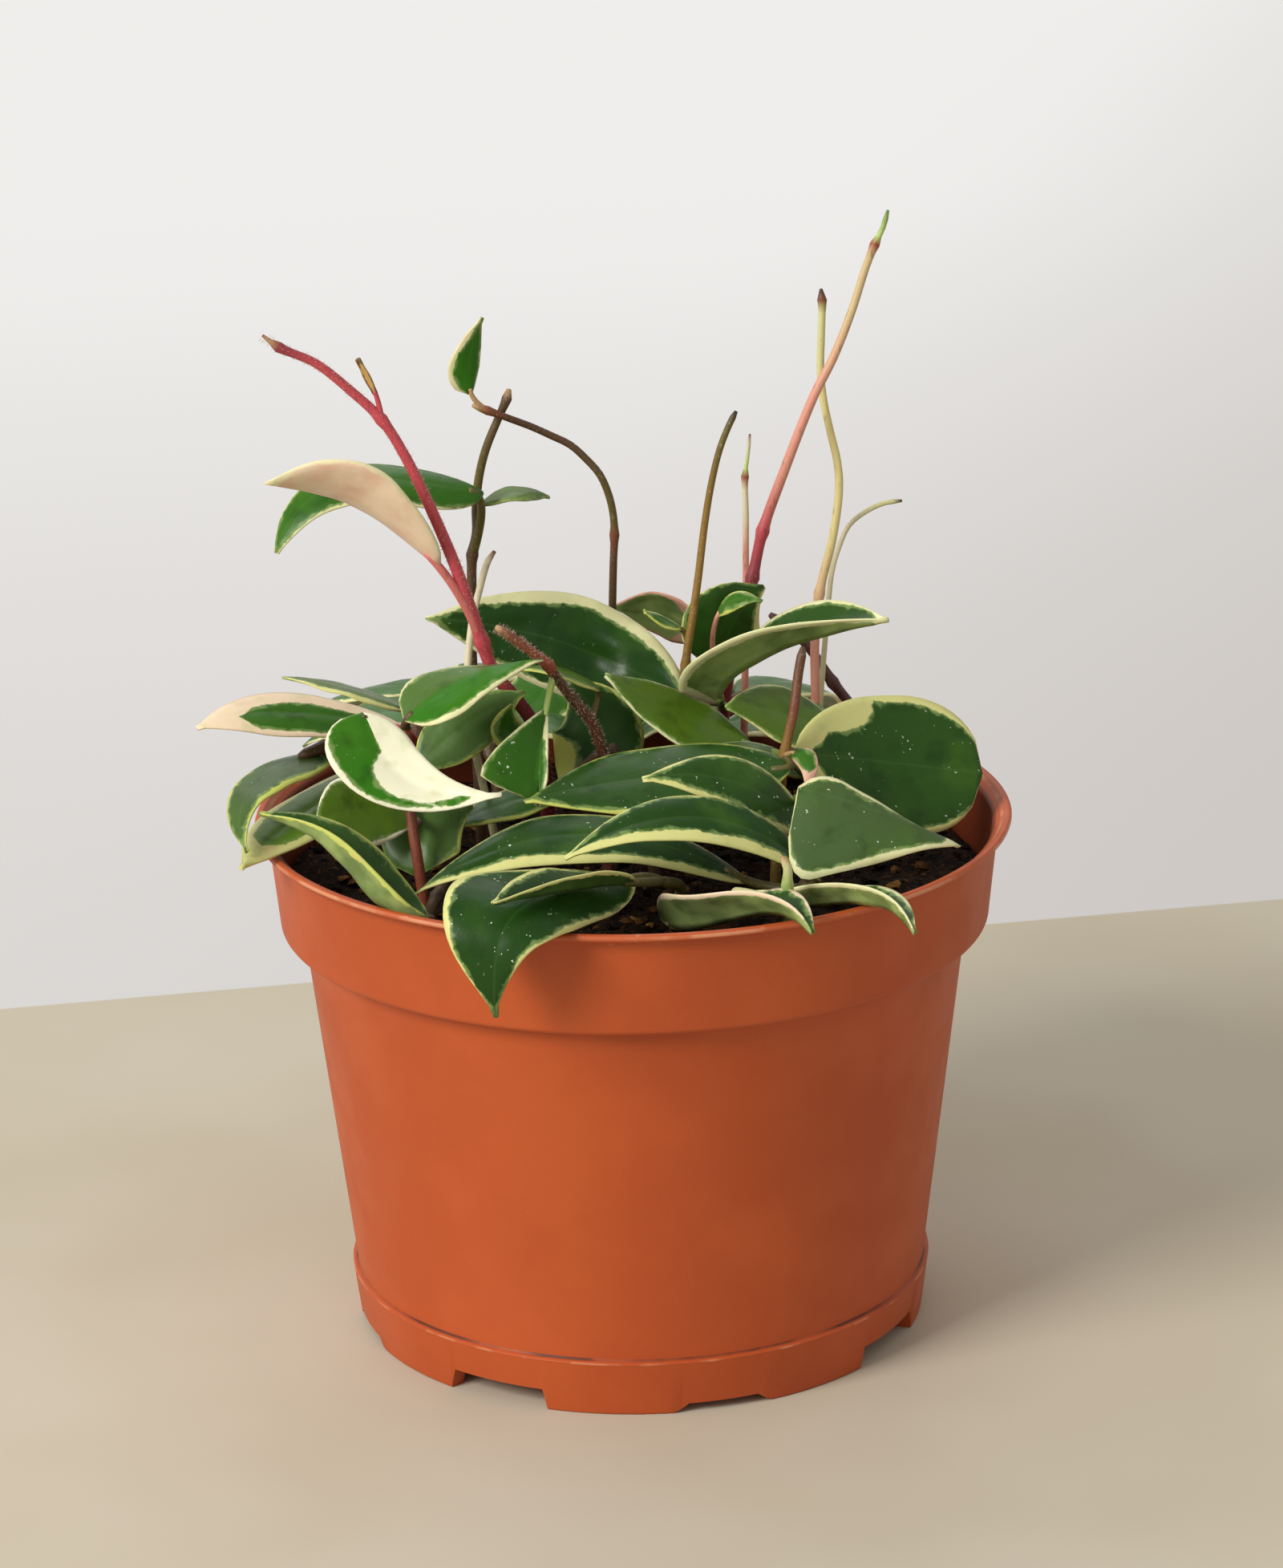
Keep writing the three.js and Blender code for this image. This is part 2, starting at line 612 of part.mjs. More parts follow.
// The way from the rib to one edge at t, square to the rib: a unit vector and the widest half width.
function edgeWay(edges, t, ahead) {
  const way = edges[0].clone().lerp(edges.at(-1), t);
  const widest = way.length();
  way.addScaledVector(ahead, -way.dot(ahead)).normalize();
  return { way, widest };
}

// A leaf blade: a flat box of cells laid along the rib, each half cupped towards its own edge.
function blade(leaf, rib) {
  const { belly = BLADE.belly, taper = BLADE.taper } = leaf;
  const cups = [leaf.cup ?? BLADE.cup].flat().map(THREE.MathUtils.degToRad);
  const rightEdges = leaf.side.map(vector);
  const leftEdges = leaf.left ? leaf.left.map(vector) : rightEdges.map((edge) => edge.clone().negate());
  const length = rib.getLength();
  const along = THREE.MathUtils.clamp(Math.round(length / BLADE.cell), ...BLADE.cells);
  const across = length > BLADE.slender ? 4 : 2;
  const geometry = new THREE.BoxGeometry(2, 1, 1, across, along, 1);
  alignDiagonals(geometry);
  const place = geometry.attributes.position;
  for (let i = 0; i < place.count; i++) {
    const t = place.getY(i) + 0.5;
    const share = place.getX(i);
    const ahead = rib.getTangent(t);
    const right = edgeWay(rightEdges, t, ahead);
    const left = edgeWay(leftEdges, t, ahead);
    const rightUp = right.way.clone().cross(ahead);
    const leftUp = ahead.clone().cross(left.way);
    const middleUp = rightUp.clone().add(leftUp).normalize();
    middleUp.divideScalar(Math.max(BLADE.mitre, middleUp.dot(rightUp)));
    const { way, widest } = share < 0 ? left : right;
    const up = share === 0 ? middleUp : share < 0 ? leftUp : rightUp;
    const half = Math.max(widest * halfWidth(t, belly, taper), BLADE.leastHalfWidth);
    const cup = THREE.MathUtils.lerp(cups[0], cups.at(-1), t);
    const angle = Math.abs(share) * cup;
    const height = place.getZ(i) * BLADE.thickness;
    const point = rib
      .getPoint(t)
      .addScaledVector(way, (Math.sin(angle) / cup) * half + Math.sin(angle) * height)
      .addScaledVector(up, ((Math.cos(angle) - 1) / cup) * half + Math.cos(angle) * height);
    place.setXYZ(i, point.x, point.y, point.z);
  }
  return solid(geometry);
}

// Turns the diagonals of a box's lower face, so that both faces are split into triangles alike.
function alignDiagonals(box) {
  const corners = box.index;
  const { start, count } = box.groups[5];
  for (let i = start; i < start + count; i += 6) {
    const [a, b, d] = [0, 1, 2].map((k) => corners.getX(i + k));
    const c = corners.getX(i + 4);
    [a, b, c, a, c, d].forEach((corner, k) => corners.setX(i + k, corner));
  }
}

// A petiole: from the stem's middle it bends into the leaf's rib. A small leaf has a thinner one.
function petiole(from, rib, bow = PETIOLE.bend) {
  const base = rib.getPoint(0);
  const reach = from.distanceTo(base);
  const bend = base.clone().addScaledVector(rib.getTangent(0), -bow * reach);
  const end = rib.getPoint(PETIOLE.sunk);
  const curve = new THREE.CubicBezierCurve3(from, bend.clone().lerp(from, 0.4), bend.lerp(base, 0.4), end);
  const slim = Math.min(1, Math.max(PETIOLE.least, rib.getLength() / PETIOLE.full));
  return tube(curve, PETIOLE.radii.map((radius) => slim * radius), PETIOLE.sides, PETIOLE.steps);
}

function makeVine({ root, route, radii, leaves }) {
  const points = [[...root, STEM.foot], [...root, STEM.straight], ...route].map(vector);
  const curve = new THREE.CatmullRomCurve3(points, false, "centripetal");
  const steps = Math.round(curve.getLength() / STEM.step);
  let vine = tube(curve, radii, STEM.sides, steps);
  for (const leaf of leaves) {
    const rib = ribCurve(leaf.rib);
    vine = vine.add(petiole(vector(route[leaf.from]), rib, leaf.bend)).add(blade(leaf, rib));
  }
  return vine;
}

// --- the whole plant ----------------------------------------------------------------------------------

const plant = new THREE.Group();
plant.add(meshOf("pot", makePot(), COLOURS.pot));
plant.add(meshOf("soil", makeSoil(), COLOURS.soil));
for (const vine of VINES) {
  const look = vine.leaves.length > 0 ? COLOURS.leaf : COLOURS[vine.bark];
  plant.add(meshOf(vine.node, makeVine(vine), look));
}

// The origin is the middle of the plant's own box in X and Y, at the table.
const reach = new THREE.Box3().setFromObject(plant);
const middle = reach.getCenter(new THREE.Vector3());
plant.position.set(-middle.x, -middle.y, -reach.min.z);

const hoya = new THREE.Group();
hoya.add(plant);

export default hoya;
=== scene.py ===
import math
import random

import bmesh
import bpy
from mathutils import Matrix, Vector, noise


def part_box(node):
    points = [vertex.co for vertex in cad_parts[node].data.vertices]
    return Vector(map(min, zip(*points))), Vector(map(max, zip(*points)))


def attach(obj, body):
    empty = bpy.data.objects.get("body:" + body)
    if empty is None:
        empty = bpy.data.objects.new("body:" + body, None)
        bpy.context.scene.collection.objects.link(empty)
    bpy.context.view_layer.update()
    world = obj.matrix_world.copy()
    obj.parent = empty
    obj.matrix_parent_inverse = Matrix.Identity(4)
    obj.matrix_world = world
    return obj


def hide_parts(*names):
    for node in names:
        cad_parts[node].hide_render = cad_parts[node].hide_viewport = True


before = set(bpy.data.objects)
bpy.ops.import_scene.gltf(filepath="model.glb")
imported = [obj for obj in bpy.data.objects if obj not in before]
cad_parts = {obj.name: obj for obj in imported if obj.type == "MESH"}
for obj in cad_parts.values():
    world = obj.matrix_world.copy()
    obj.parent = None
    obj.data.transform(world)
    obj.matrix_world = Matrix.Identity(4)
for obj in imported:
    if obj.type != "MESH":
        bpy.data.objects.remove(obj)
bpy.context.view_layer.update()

# A variegated hoya in a plastic nursery pot. Every length below is in millimetres about the pot's axis,
# with the pot standing on z = 0, +X to the right and -Y towards the camera. made() turns it into metres
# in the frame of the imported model.

MM = 0.001
pot_low, pot_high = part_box("pot")
POT_AXIS = Vector(((pot_low.x + pot_high.x) / 2, (pot_low.y + pot_high.y) / 2, 0.0))
SEED = 7


def paint(code):
    """A linear colour from a hex code."""
    channels = [int(code[i : i + 2], 16) / 255 for i in (1, 3, 5)]
    linear = [c / 12.92 if c <= 0.04045 else ((c + 0.055) / 1.055) ** 2.4 for c in channels]
    return (*linear, 1.0)


def palette(**codes):
    return {name: paint(code) for name, code in codes.items()}


POT = dict(
    foot_inner=54.5, foot_outer=57.9, foot_top=59.3, foot_height=11, seam=59.4,
    body_bottom=58.3, body_top=66.9, band_bottom=84.8, band_lower=71.35, band_upper=73.3,
    band_slope=0.1,
    lip=76, height=106.3, wall=1.2, floor_under=4.6, floor_top=6.2,
)
# Notches through the foot, by their angle from the front in degrees (plus to the right); half is half
# the angle of the notch's top and slope the angle that its sloping side takes.
NOTCHES = [
    dict(angles=(-30, 60, 150, 240), height=4.3, half=10, slope=1),
    dict(angles=(16, 106, 196, 286), height=2.0, half=7, slope=3),
]
# No notch reaches higher than this, and the floor's underside lies above it.
NOTCH_LIMIT = 4.5
DRAIN = dict(count=8, circle=38, radius=4.5, proud=0.05)
# The soil's grain is two layers of noise as (size, height, shift). It fades out near the wall.
SOIL = dict(
    surface=94, bump=0.9, edge=70.2, flat=0.98, gap=0.3, rings=40, sides=160, fades_over=4,
    grain=((2.6, 1.3, 0), (1.1, 0.6, 3)),
)
# A stem starts down in the soil at the height foot, goes straight up to the height straight and then
# follows its route. It swells at each knot and narrows at its tip. A young shoot is suddenly thinner: it
# narrows between the two distances of shoot_starts past the knot that it grows from.
STEM = dict(
    foot=80, straight=97, sides=12, step=1.6, swell=0.34, swell_reach=1.3, narrowed=0.45, tip_reach=0.8,
    shoot_starts=(0.3, 1.8),
)
HAIR = dict(per_mm=4, length=(0.35, 0.8), radii=(0.045, 0.01), lean=0.5, rooted=0.93)
# Leaf stalks: full is the length of leaf from which a stalk has its full radii, and least its thinnest
# share of them.
PETIOLE = dict(radii=(1.05, 0.8), sides=10, steps=14, sunk=0.07, bend=0.3, pull=0.4, full=28, least=0.6)
# Leaf blades. belly is where along the rib the leaf is widest, and shoulder and taper are how blunt its
# base and its tip are. cup is how far each half turns down from rib to edge, in degrees.
BLADE = dict(
    half_thickness=0.4, across=16, cell=1.6, least_cells=12, least_half_width=0.5, cup=8, belly=0.42,
    shoulder=0.62, taper=1.1, mitre=0.6, fold=0.14,
)
RIM = dict(share=0.45, reach=1.2)
CREASE = dict(depth=0.16, width=0.9, under=1.6)
EDGE_WAVE = dict(height=0.035, turns=5, across=0.6)
RIPPLE = dict(turns=4.5, across=1)
PUCKER = dict(turns=6, across=2, shift=5)
MARGIN = dict(at_ends=0.12, tip_reach=1.6, base_reach=2.2)
# Ripples and puckers are full on a leaf with at least this half width. LEAF_PHASE keeps leaves unlike.
FULL_RELIEF = 8
LEAF_PHASE = 7.31
CHIPS = dict(
    count=900, spread=0.97, size=(0.5, 2.6), shrink=(0.5, 1), width=(0.4, 0.9), height=(0.2, 0.5),
    tilt=0.6, jagged=(0.7, 1.25), lift=0.3, lift_by_size=0.1,
    shades=("#1a110a", "#332012", "#553618", "#140d08", "#7a5526", "#26190f"),
)

# Colours, by the names that the vines below use.
GREENS = palette(
    deep="#1f4210", forest="#2a4c16", mid="#336414", bright="#30700c",
    lime="#668f2c", grey="#455c30", olive="#52701c", pale="#76904c",
    blush="#dda890", bud="#c8a060", leek="#527036",
    celery="#9eb26c", ivory="#ead3b6",
)
CREAMS = palette(
    cream="#dedca8", butter="#d6d48a", lemon="#c6cc68", white="#ece9cb",
    blush="#e9d2b2", rose="#dba58e", green="#a3b86e", rust="#6a3a26",
    ivory="#e6dcb2",
)
BARKS = palette(
    rose="#bf4650", wine="#8a2f38", coral="#cf6f68", salmon="#d9937f",
    sand="#cdb485", ivory="#d9cfae", cream="#dccd8c", pale="#cfcd92",
    lime="#b2cc72", green="#6d8440", tan="#b08d60", ochre="#8a6826",
    olive="#5f5626", brown="#5a3f26", umber="#4a3018", dark="#38281a",
    rust="#7a4228", red="#94402a", maroon="#54302b", shade="#2c3818",
# shade is a painted shade: a dark green for a stalk that runs in shade among the leaves.
)

# One add_vine() per stem, with what grows on it. route is the stem's middle line above the soil; knots and
# each leaf's at are numbers of its points. bark is colours at shares of the stem's length, and shoot the
# share where a young shoot begins and how thick it is next to the old stem.
# A leaf's rib runs from base to tip. side is the way from the rib to the right edge at the leaf's full
# width, and left the way to the left edge where that isn't side turned round. Two ways hold at the base and
# at the tip. bend is the share of its reach over which the stalk turns into the rib's direction.
VINES = []


def add_vine(node, stems, leaves=(), knots=(), **rest):
    """Notes down a stem and its leaves. Its route starts above the soil; root is where it goes in."""
    VINES.append(dict(node=node, slot=stems + "_stem_foliage", leaves=leaves, knots=knots, **rest))


add_vine(
    "pink_vine", "pink", radii=(1.7, 0.8), root=(-17, 7), knots=(2, 7, 10), hairs=3, shoot=(0.974, 0.62),
    route=[
        (-19.2, 0, 123.5), (-27.2, -4, 136.9), (-29.2, -5, 143.2), (-32.1, -7, 153.4), (-34.4, -8, 160.9),
        (-39, -9, 173.1), (-43.7, -9, 183.5), (-47.4, -9, 189.6), (-53.2, -9.5, 195.6), (-59.7, -11, 201.5),
        (-66.6, -12, 205), (-69.6, -12, 207.4),
    ],
    bark=[(0.304, "wine"), (0.459, "rose"), (0.921, "rose"), (0.974, "wine"), (0.985, "tan"), (1, "rust")],
    leaves=[
        dict(at=2, rib=[(-37, -9, 160), (-48, -10, 171), (-58, -12, 177), (-70, -16, 179)],
             side=[(-1.5, 9, -6.5)], cup=-30, belly=0.55, green="blush", cream="ivory", margin=(0.7, 1.2),
             tip=3, under="ivory", stalk="coral", ripple=0.2),
        dict(at=7, rib=[(-48.4, -9, 194.8), (-49.9, -9, 198.1), (-51.6, -10, 202)], side=[(-0.5, 0, -0.5)],
             cup=60, green="bud", cream="rust", margin=(0, 0), tip=0.7, under="bud", stalk="rose", ripple=0,
             pucker=0),
        dict(at=0, rib=[(-22.1, -12, 123.4), (-24.6, -12, 127.9), (-23.4, -12, 132.3)], side=[(3, 2, -0.5)],
             cream="lemon", margin=(0.7, 0.7), stalk="green"),
    ],
)
add_vine(
    "dark_vine", "brown", radii=(1.4, 0.8), root=(-31, 16), knots=(2, 8),
    route=[
        (-32.4, 25, 134.5), (-32, 25, 145.7), (-31.7, 25, 152.8), (-30.7, 24, 157.7), (-30.6, 23.5, 163.5),
        (-29.9, 23, 169.2), (-28.3, 22, 175.5), (-25.5, 22, 182.1), (-23.8, 22, 185.9), (-23.3, 22, 187.8),
    ],
    bark=[(0.669, "brown"), (0.82, "olive"), (0.982, "brown"), (1, "tan")],
    leaves=[
        dict(at=2, rib=[(-29, 20, 167), (-44, 15, 171), (-59, 11, 171), (-70, 6, 159)],
             side=[(0, 6, 2.5), (-5.5, 5, 2)], left=[(0, -6, -4), (6, -5, -1.5)], cup=12, belly=0.35,
             taper=0.8, bend=0.1, margin=(0.5, 0.4), stalk="olive"),
        dict(at=4, rib=[(-29.8, 26, 162.7), (-22.9, 30, 164.7), (-16, 34, 162.2)], side=[(0.5, -5, 0)],
             cup=20, green="olive", cream="green", margin=(0.2, 0.2), stalk="olive"),
    ],
)
add_vine(
    "arching_vine", "brown", radii=(0.95, 0.7), root=(-4, 26), knots=(3, 12),
    route=[
        (-3.9, 26, 123.4), (-3.5, 25.5, 140.6), (-3.1, 25, 150.9), (-2.8, 25, 156.4), (-2.9, 24.6, 160.2),
        (-3.7, 24, 164.8), (-5.5, 23.4, 169.5), (-8.2, 23, 172.9), (-11.3, 22.4, 176), (-15.1, 21.6, 178.2),
        (-18.9, 20.6, 180.3), (-23.2, 19.6, 182.3), (-27.6, 18.6, 184.3), (-30.6, 18, 185.6),
    ],
    bark=[
        (0, "olive"), (0.587, "brown"), (0.633, "rust"), (0.664, "olive"), (0.818, "brown"),
        (0.932, "umber"), (0.972, "rust"), (1, "tan"),
    ],
    leaves=[
        dict(at=12, rib=[(-30.9, 18, 187.9), (-31, 18, 195.1), (-28.2, 18, 203.4)],
             side=[(2, 2, -1), (2, 2, -1.5)], left=[(-5.5, -2, -0.5), (-1, -2, 1.5)], cup=10, belly=0.4,
             green="bright", margin=(1, 0.3), stalk="tan"),
        dict(at=0, rib=[(-8, 30, 109), (-20, 34, 115), (-32, 35, 112)], side=[(0, 9, 0)], cup=10,
             flecks=0.4),
        dict(at=0, rib=[(0, 30, 110), (10, 34, 116), (20, 32, 113)], side=[(0, -8, 0)], cup=10, flecks=0.4),
    ],
)
add_vine(
    "pale_stub", "pale", radii=(0.9, 0.7), root=(-27, -6),
    route=[(-32.5, 0, 128.5), (-31.5, 4, 144), (-29.8, 6, 150.8), (-27.9, 7, 156.6), (-26.6, 7, 158.4)],
    bark=[(0, "pale"), (0.897, "ivory"), (0.973, "ivory"), (0.992, "red"), (1, "rust")],
)
add_vine(
    "hairy_stem", "brown", radii=(1.4, 0.9), root=(-5, -4), knots=(4,), hairs=6,
    route=[
        (-6, -8, 121), (-8, -10, 128), (-12, -12, 134), (-15, -14, 139), (-16, -15, 141), (-21, -17, 146),
        (-26, -18, 150),
    ],
    bark=[(0, "rust"), (0.793, "umber"), (0.825, "red"), (0.918, "rust"), (0.972, "rust"), (1, "tan")],
    leaves=[
        dict(at=0, rib=[(-14.3, -1, 111.6), (-6.9, 5, 122.3), (-13.1, 8, 131.1)], side=[(9.5, 0, 0.5)],
             green="forest", cream="lemon", margin=(0.6, 0.8), patches=[(0.1, -0.8, 6, 3)]),
        dict(at=3, rib=[(-16.7, -15, 132.1), (-17.9, -21, 124), (-18.2, -26, 115.6)],
             side=[(-3, -3, 0), (-14, -8, -0.5)], left=[(1.5, 0, 0), (1.5, -2, 0.5)], belly=0.7, taper=2.0,
             margin=(0.5, 0.5), stalk="lime", flecks=1),
        dict(at=1, rib=[(-5.8, -3, 131.9), (-13.7, -4, 136.4), (-23.2, -5, 137.3)], side=[(0, 6, -1)],
             bend=0, green="olive", cream="lemon", margin=(0.4, 0.6), stalk="olive"),
    ],
)
add_vine(
    "olive_stem", "brown", radii=(1.1, 0.65), root=(10, 12), knots=(0,),
    route=[
        (11.1, 11, 132.7), (12.9, 12, 144.2), (13.9, 13, 150.6), (15.4, 14, 161.7), (16.9, 14, 170.2),
        (18.6, 14, 176.9), (20.6, 14, 181.9), (21.9, 14, 184.4),
    ],
    bark=[(0, "brown"), (0.608, "ochre"), (0.776, "ochre"), (0.973, "olive"), (1, "dark")],
    leaves=[
        dict(at=0, rib=[(10.4, 12, 140.2), (6.9, 11, 142.1), (2.9, 9, 144.9)], side=[(0, 2, 0.5)], cup=10,
             cream="lemon", margin=(0.5, 0.5), stalk="olive"),
        dict(at=0, rib=[(10, 8, 127), (-14, 15, 137), (-41, 13, 143)], side=[(0, 4, 9.5)], green="deep",
             margin=(1.2, 2.4), stalk="olive", flecks=0.4, ripple=1.4, pucker=2.2),
    ],
)
add_vine(
    "tall_pink_vine", "pink", radii=(1.5, 0.75), root=(18, 24), knots=(2, 3, 9), shoot=(0.95, 0.72),
    route=[
        (19, 24, 120.2), (21.6, 25, 133.5), (25.1, 27, 146.4), (27.3, 28, 155.9), (31.6, 28.5, 167.8),
        (37.9, 29, 183.6), (41.9, 30, 191.2), (45.7, 31, 200.5), (48.6, 32, 209.2), (50.4, 32, 213.8),
        (52.1, 33, 217), (53.1, 33, 220.5),
    ],
    bark=[
        (0.458, "wine"), (0.524, "rose"), (0.61, "salmon"), (0.726, "salmon"), (0.853, "sand"),
        (0.916, "sand"), (0.935, "sand"), (0.95, "red"), (0.961, "lime"), (1, "green"),
    ],
    leaves=[
        dict(at=1, rib=[(15.9, 34, 132.3), (6.7, 38, 136.2), (-3.2, 40, 137)], side=[(0.5, 5, -6.5)],
             cup=10, green="leek", cream="rose", margin=(0.6, 0.6), base=4, under="celery", stalk="salmon",
             flecks=0.4),
        dict(at=1, rib=[(19.4, 21, 129.9), (20.5, 19, 138.7), (27.3, 21, 146.2)], side=[(5.5, 3, -3.5)],
             left=[(-9, -2, 4)], green="forest", cream="butter", margin=(0.3, 1.8), stalk="green"),
        dict(at=0, rib=[(17.7, 14, 142.3), (20.9, 12, 145.9), (26.5, 9, 146.5)], side=[(0.5, -2, -1)],
             cup=20, cream="lemon", margin=(0.5, 0.5), stalk="salmon"),
        dict(at=0, rib=[(18, 12, 124), (22, 4, 134), (35, -2, 142), (51, -8, 147)],
             side=[(-8.5, -8, 9), (0.5, -4, 4.5)], left=[(-0.5, 8, -1.5), (0.5, 6, 11.5)], cup=10,
             belly=0.45, bend=0.15, green="forest", margin=(1, 1.9), base=4, tip=2, under="celery",
             stalk="green", flecks=0.4),
    ],
)
add_vine(
    "pale_back_stem", "pale", radii=(0.9, 0.6), root=(23, 36), knots=(3,), shoot=(0.905, 0.66),
    route=[
        (23.9, 36, 137.1), (24, 36, 149.1), (24.1, 36, 157.6), (24, 36, 165.3), (24.5, 36, 169),
        (25.1, 36, 174.2),
    ],
    bark=[
        (0.733, "salmon"), (0.823, "ivory"), (0.882, "ivory"), (0.905, "red"), (0.922, "lime"),
        (0.977, "ivory"), (1, "rust"),
    ],
)
add_vine(
    "pale_vine", "pale", radii=(1.1, 0.75), root=(37, 28), knots=(2, 10), shoot=(0.982, 0.7),
    route=[
        (37.9, 30, 118), (37.9, 31, 131.4), (38.9, 32, 141.4), (41.8, 33, 153.3), (43.1, 34, 162.8),
        (42.8, 34.5, 168.4), (41.4, 35, 174.7), (40.1, 35, 181.1), (39.5, 35, 187.3), (39.7, 35, 194.7),
        (39.9, 35, 202), (39.7, 35, 204.3),
    ],
    bark=[
        (0.411, "salmon"), (0.589, "cream"), (0.763, "cream"), (0.923, "pale"), (0.964, "pale"),
        (0.982, "rust"), (0.994, "pale"), (1, "dark"),
    ],
    leaves=[
        dict(at=0, rib=[(42, 12, 117), (30, 9, 123), (19, 4, 126)], side=[(2, 9, 2.5)], green="olive",
             cream="butter", margin=(0.3, 0.7), stalk="green"),
    ],
)
add_vine(
    "tendril", "pale", radii=(0.7, 0.5), root=(38, 38),
    route=[
        (40.8, 37, 136.5), (41.8, 37, 145.1), (43.2, 38, 149.5), (45.3, 38, 154.1), (48.8, 39, 156.7),
        (52.8, 40, 158.2), (56.3, 40, 158.6),
    ],
    bark=[(0, "pale"), (0.858, "ivory"), (0.96, "pale"), (0.975, "pale"), (1, "dark")],
)
add_vine(
    "right_stem", "brown", radii=(1.15, 0.95), root=(28, -17), knots=(1,),
    route=[(29, -16, 112), (30, -16, 122), (32, -15, 131), (33, -13, 138), (34, -12, 143)],
    bark=[(0, "olive"), (0.659, "ochre"), (0.804, "rust"), (1, "brown")],
    leaves=[
        dict(at=1, rib=[(32, -14, 122), (51, -6, 117), (70, -2, 113)], side=[(-1.5, -8, -12)], belly=0.62,
             taper=0.45, green="forest", cream="butter", margin=(1.6, 0.9), base=5,
             patches=[(0.3, -0.9, 6, 4)], flecks=1),
        dict(at=1, rib=[(31.4, -20, 123.9), (34.1, -25, 122.5), (33.7, -27, 117.9)],
             side=[(-1.5, 0, -1), (-1.5, 0, 0)], left=[(2.5, 0, 1.5), (2.5, 0, 0)], cup=20, belly=0.3,
             bend=0, cream="rose", margin=(0.5, 0.6), tip=3, stalk="tan"),
        dict(at=0, rib=[(32, -37, 122), (48, -41, 118), (63, -38, 110)],
             side=[(-5, -15, -15.5), (4.5, -3, -1.5)], left=[(1.5, 4, 4), (0, 2, -2.5)], belly=0.25,
             taper=0.65, bend=-0.2, green="grey", margin=(1, 1.4), base=1, tip=3, stalk="green", flecks=1),
        dict(at=1, rib=[(24, 0, 119), (10, -2, 126), (-5, -5, 136)], side=[(1.5, 8, 2.5)], green="olive",
             margin=(0.5, 0.5), stalk="green"),
        dict(at=1, rib=[(31, -22, 121), (5, -22, 120), (-21, -30, 118)], side=[(0, 10, 4)], cup=12,
             green="forest", cream="lemon", margin=(0.9, 0.5), stalk="olive", flecks=1),
        dict(at=1, rib=[(34.4, -11, 115.7), (25, -8, 120.2), (15.5, -6, 121.1)], side=[(1, 5, 0.5)],
             green="grey", cream="green", margin=(0.8, 0.8), stalk="green", flecks=0.4),
    ],
)
add_vine(
    "dark_back_vine", "brown", radii=(1.2, 1.0), root=(47, 41), knots=(1, 2),
    route=[(48, 42, 100), (46, 43, 113), (42, 43, 119), (36, 43, 128), (29, 43, 134)],
    bark=[(1, "maroon")],
)
add_vine(
    "front_stub", "pale", radii=(1.1, 0.9), root=(28, -56), knots=(1,),
    route=[(30, -59, 106), (29, -62, 111), (29, -63, 115), (28, -63, 117)],
    bark=[(0.837, "lime"), (0.943, "pale"), (1, "tan")],
    leaves=[
        dict(at=0, rib=[(5, -46, 99), (15, -57, 102), (25, -65, 107), (33, -78, 107)],
             side=[(-0.5, -6, 10), (1, -5, 4)], left=[(0, 8, -2), (3, 6, 6)], cup=10, belly=0.36, taper=0.9,
             green="deep", cream="blush", margin=(0.8, 0.9), under="celery", stalk="pale", flecks=0.4),
        dict(at=0, rib=[(19, -46, 104), (32, -53, 104), (44, -63, 108), (52, -79, 107)],
             side=[(0, -4, 5.5), (0.5, -4, 3.5)], left=[(0, 6, -1), (1.5, 5, 2.5)], cup=10, belly=0.45,
             taper=0.9, green="deep", margin=(0.8, 0.9), under="celery", stalk="pale", flecks=0.4),
    ],
)
add_vine(
    "left_vine", "brown", radii=(1.5, 1.2), root=(-37, 6), knots=(1, 4),
    route=[(-37, 6, 105), (-44, 4, 116), (-51, 2, 120), (-57, -2, 122), (-61, -5, 122), (-66, -8, 121)],
    bark=[(1, "brown")],
    leaves=[
        dict(at=1, rib=[(-45, -4, 125), (-58, -8, 129), (-72, -14, 132), (-85, -20, 131)],
             side=[(-0.5, 6, 2.5)], belly=0.55, cream="blush", margin=(0.8, 3.9), tip=8, stalk="rose"),
        dict(at=1, rib=[(-45, 12, 124), (-58, 12, 129), (-70, 10, 132)], side=[(-0.5, 7, -1)],
             green="olive", cream="butter", margin=(1, 0.3), under="celery"),
        dict(at=2, rib=[(-60, -4, 120), (-70, -14, 120), (-76, -24, 117), (-75, -34, 110)],
             side=[(-1, 8, 0.5), (-3.5, 3, 0)], cup=15, belly=0.45, green="grey", cream="lemon",
             margin=(1, 0.8), flecks=0.4),
        dict(at=1, rib=[(-49, 0, 117), (-65, -14, 111), (-76, -38, 108)], side=[(-2.5, 7, 1.5)], cup=12,
             taper=1.3, green="lime", cream="butter", margin=(2.2, 1.6), tip=9),
    ],
)
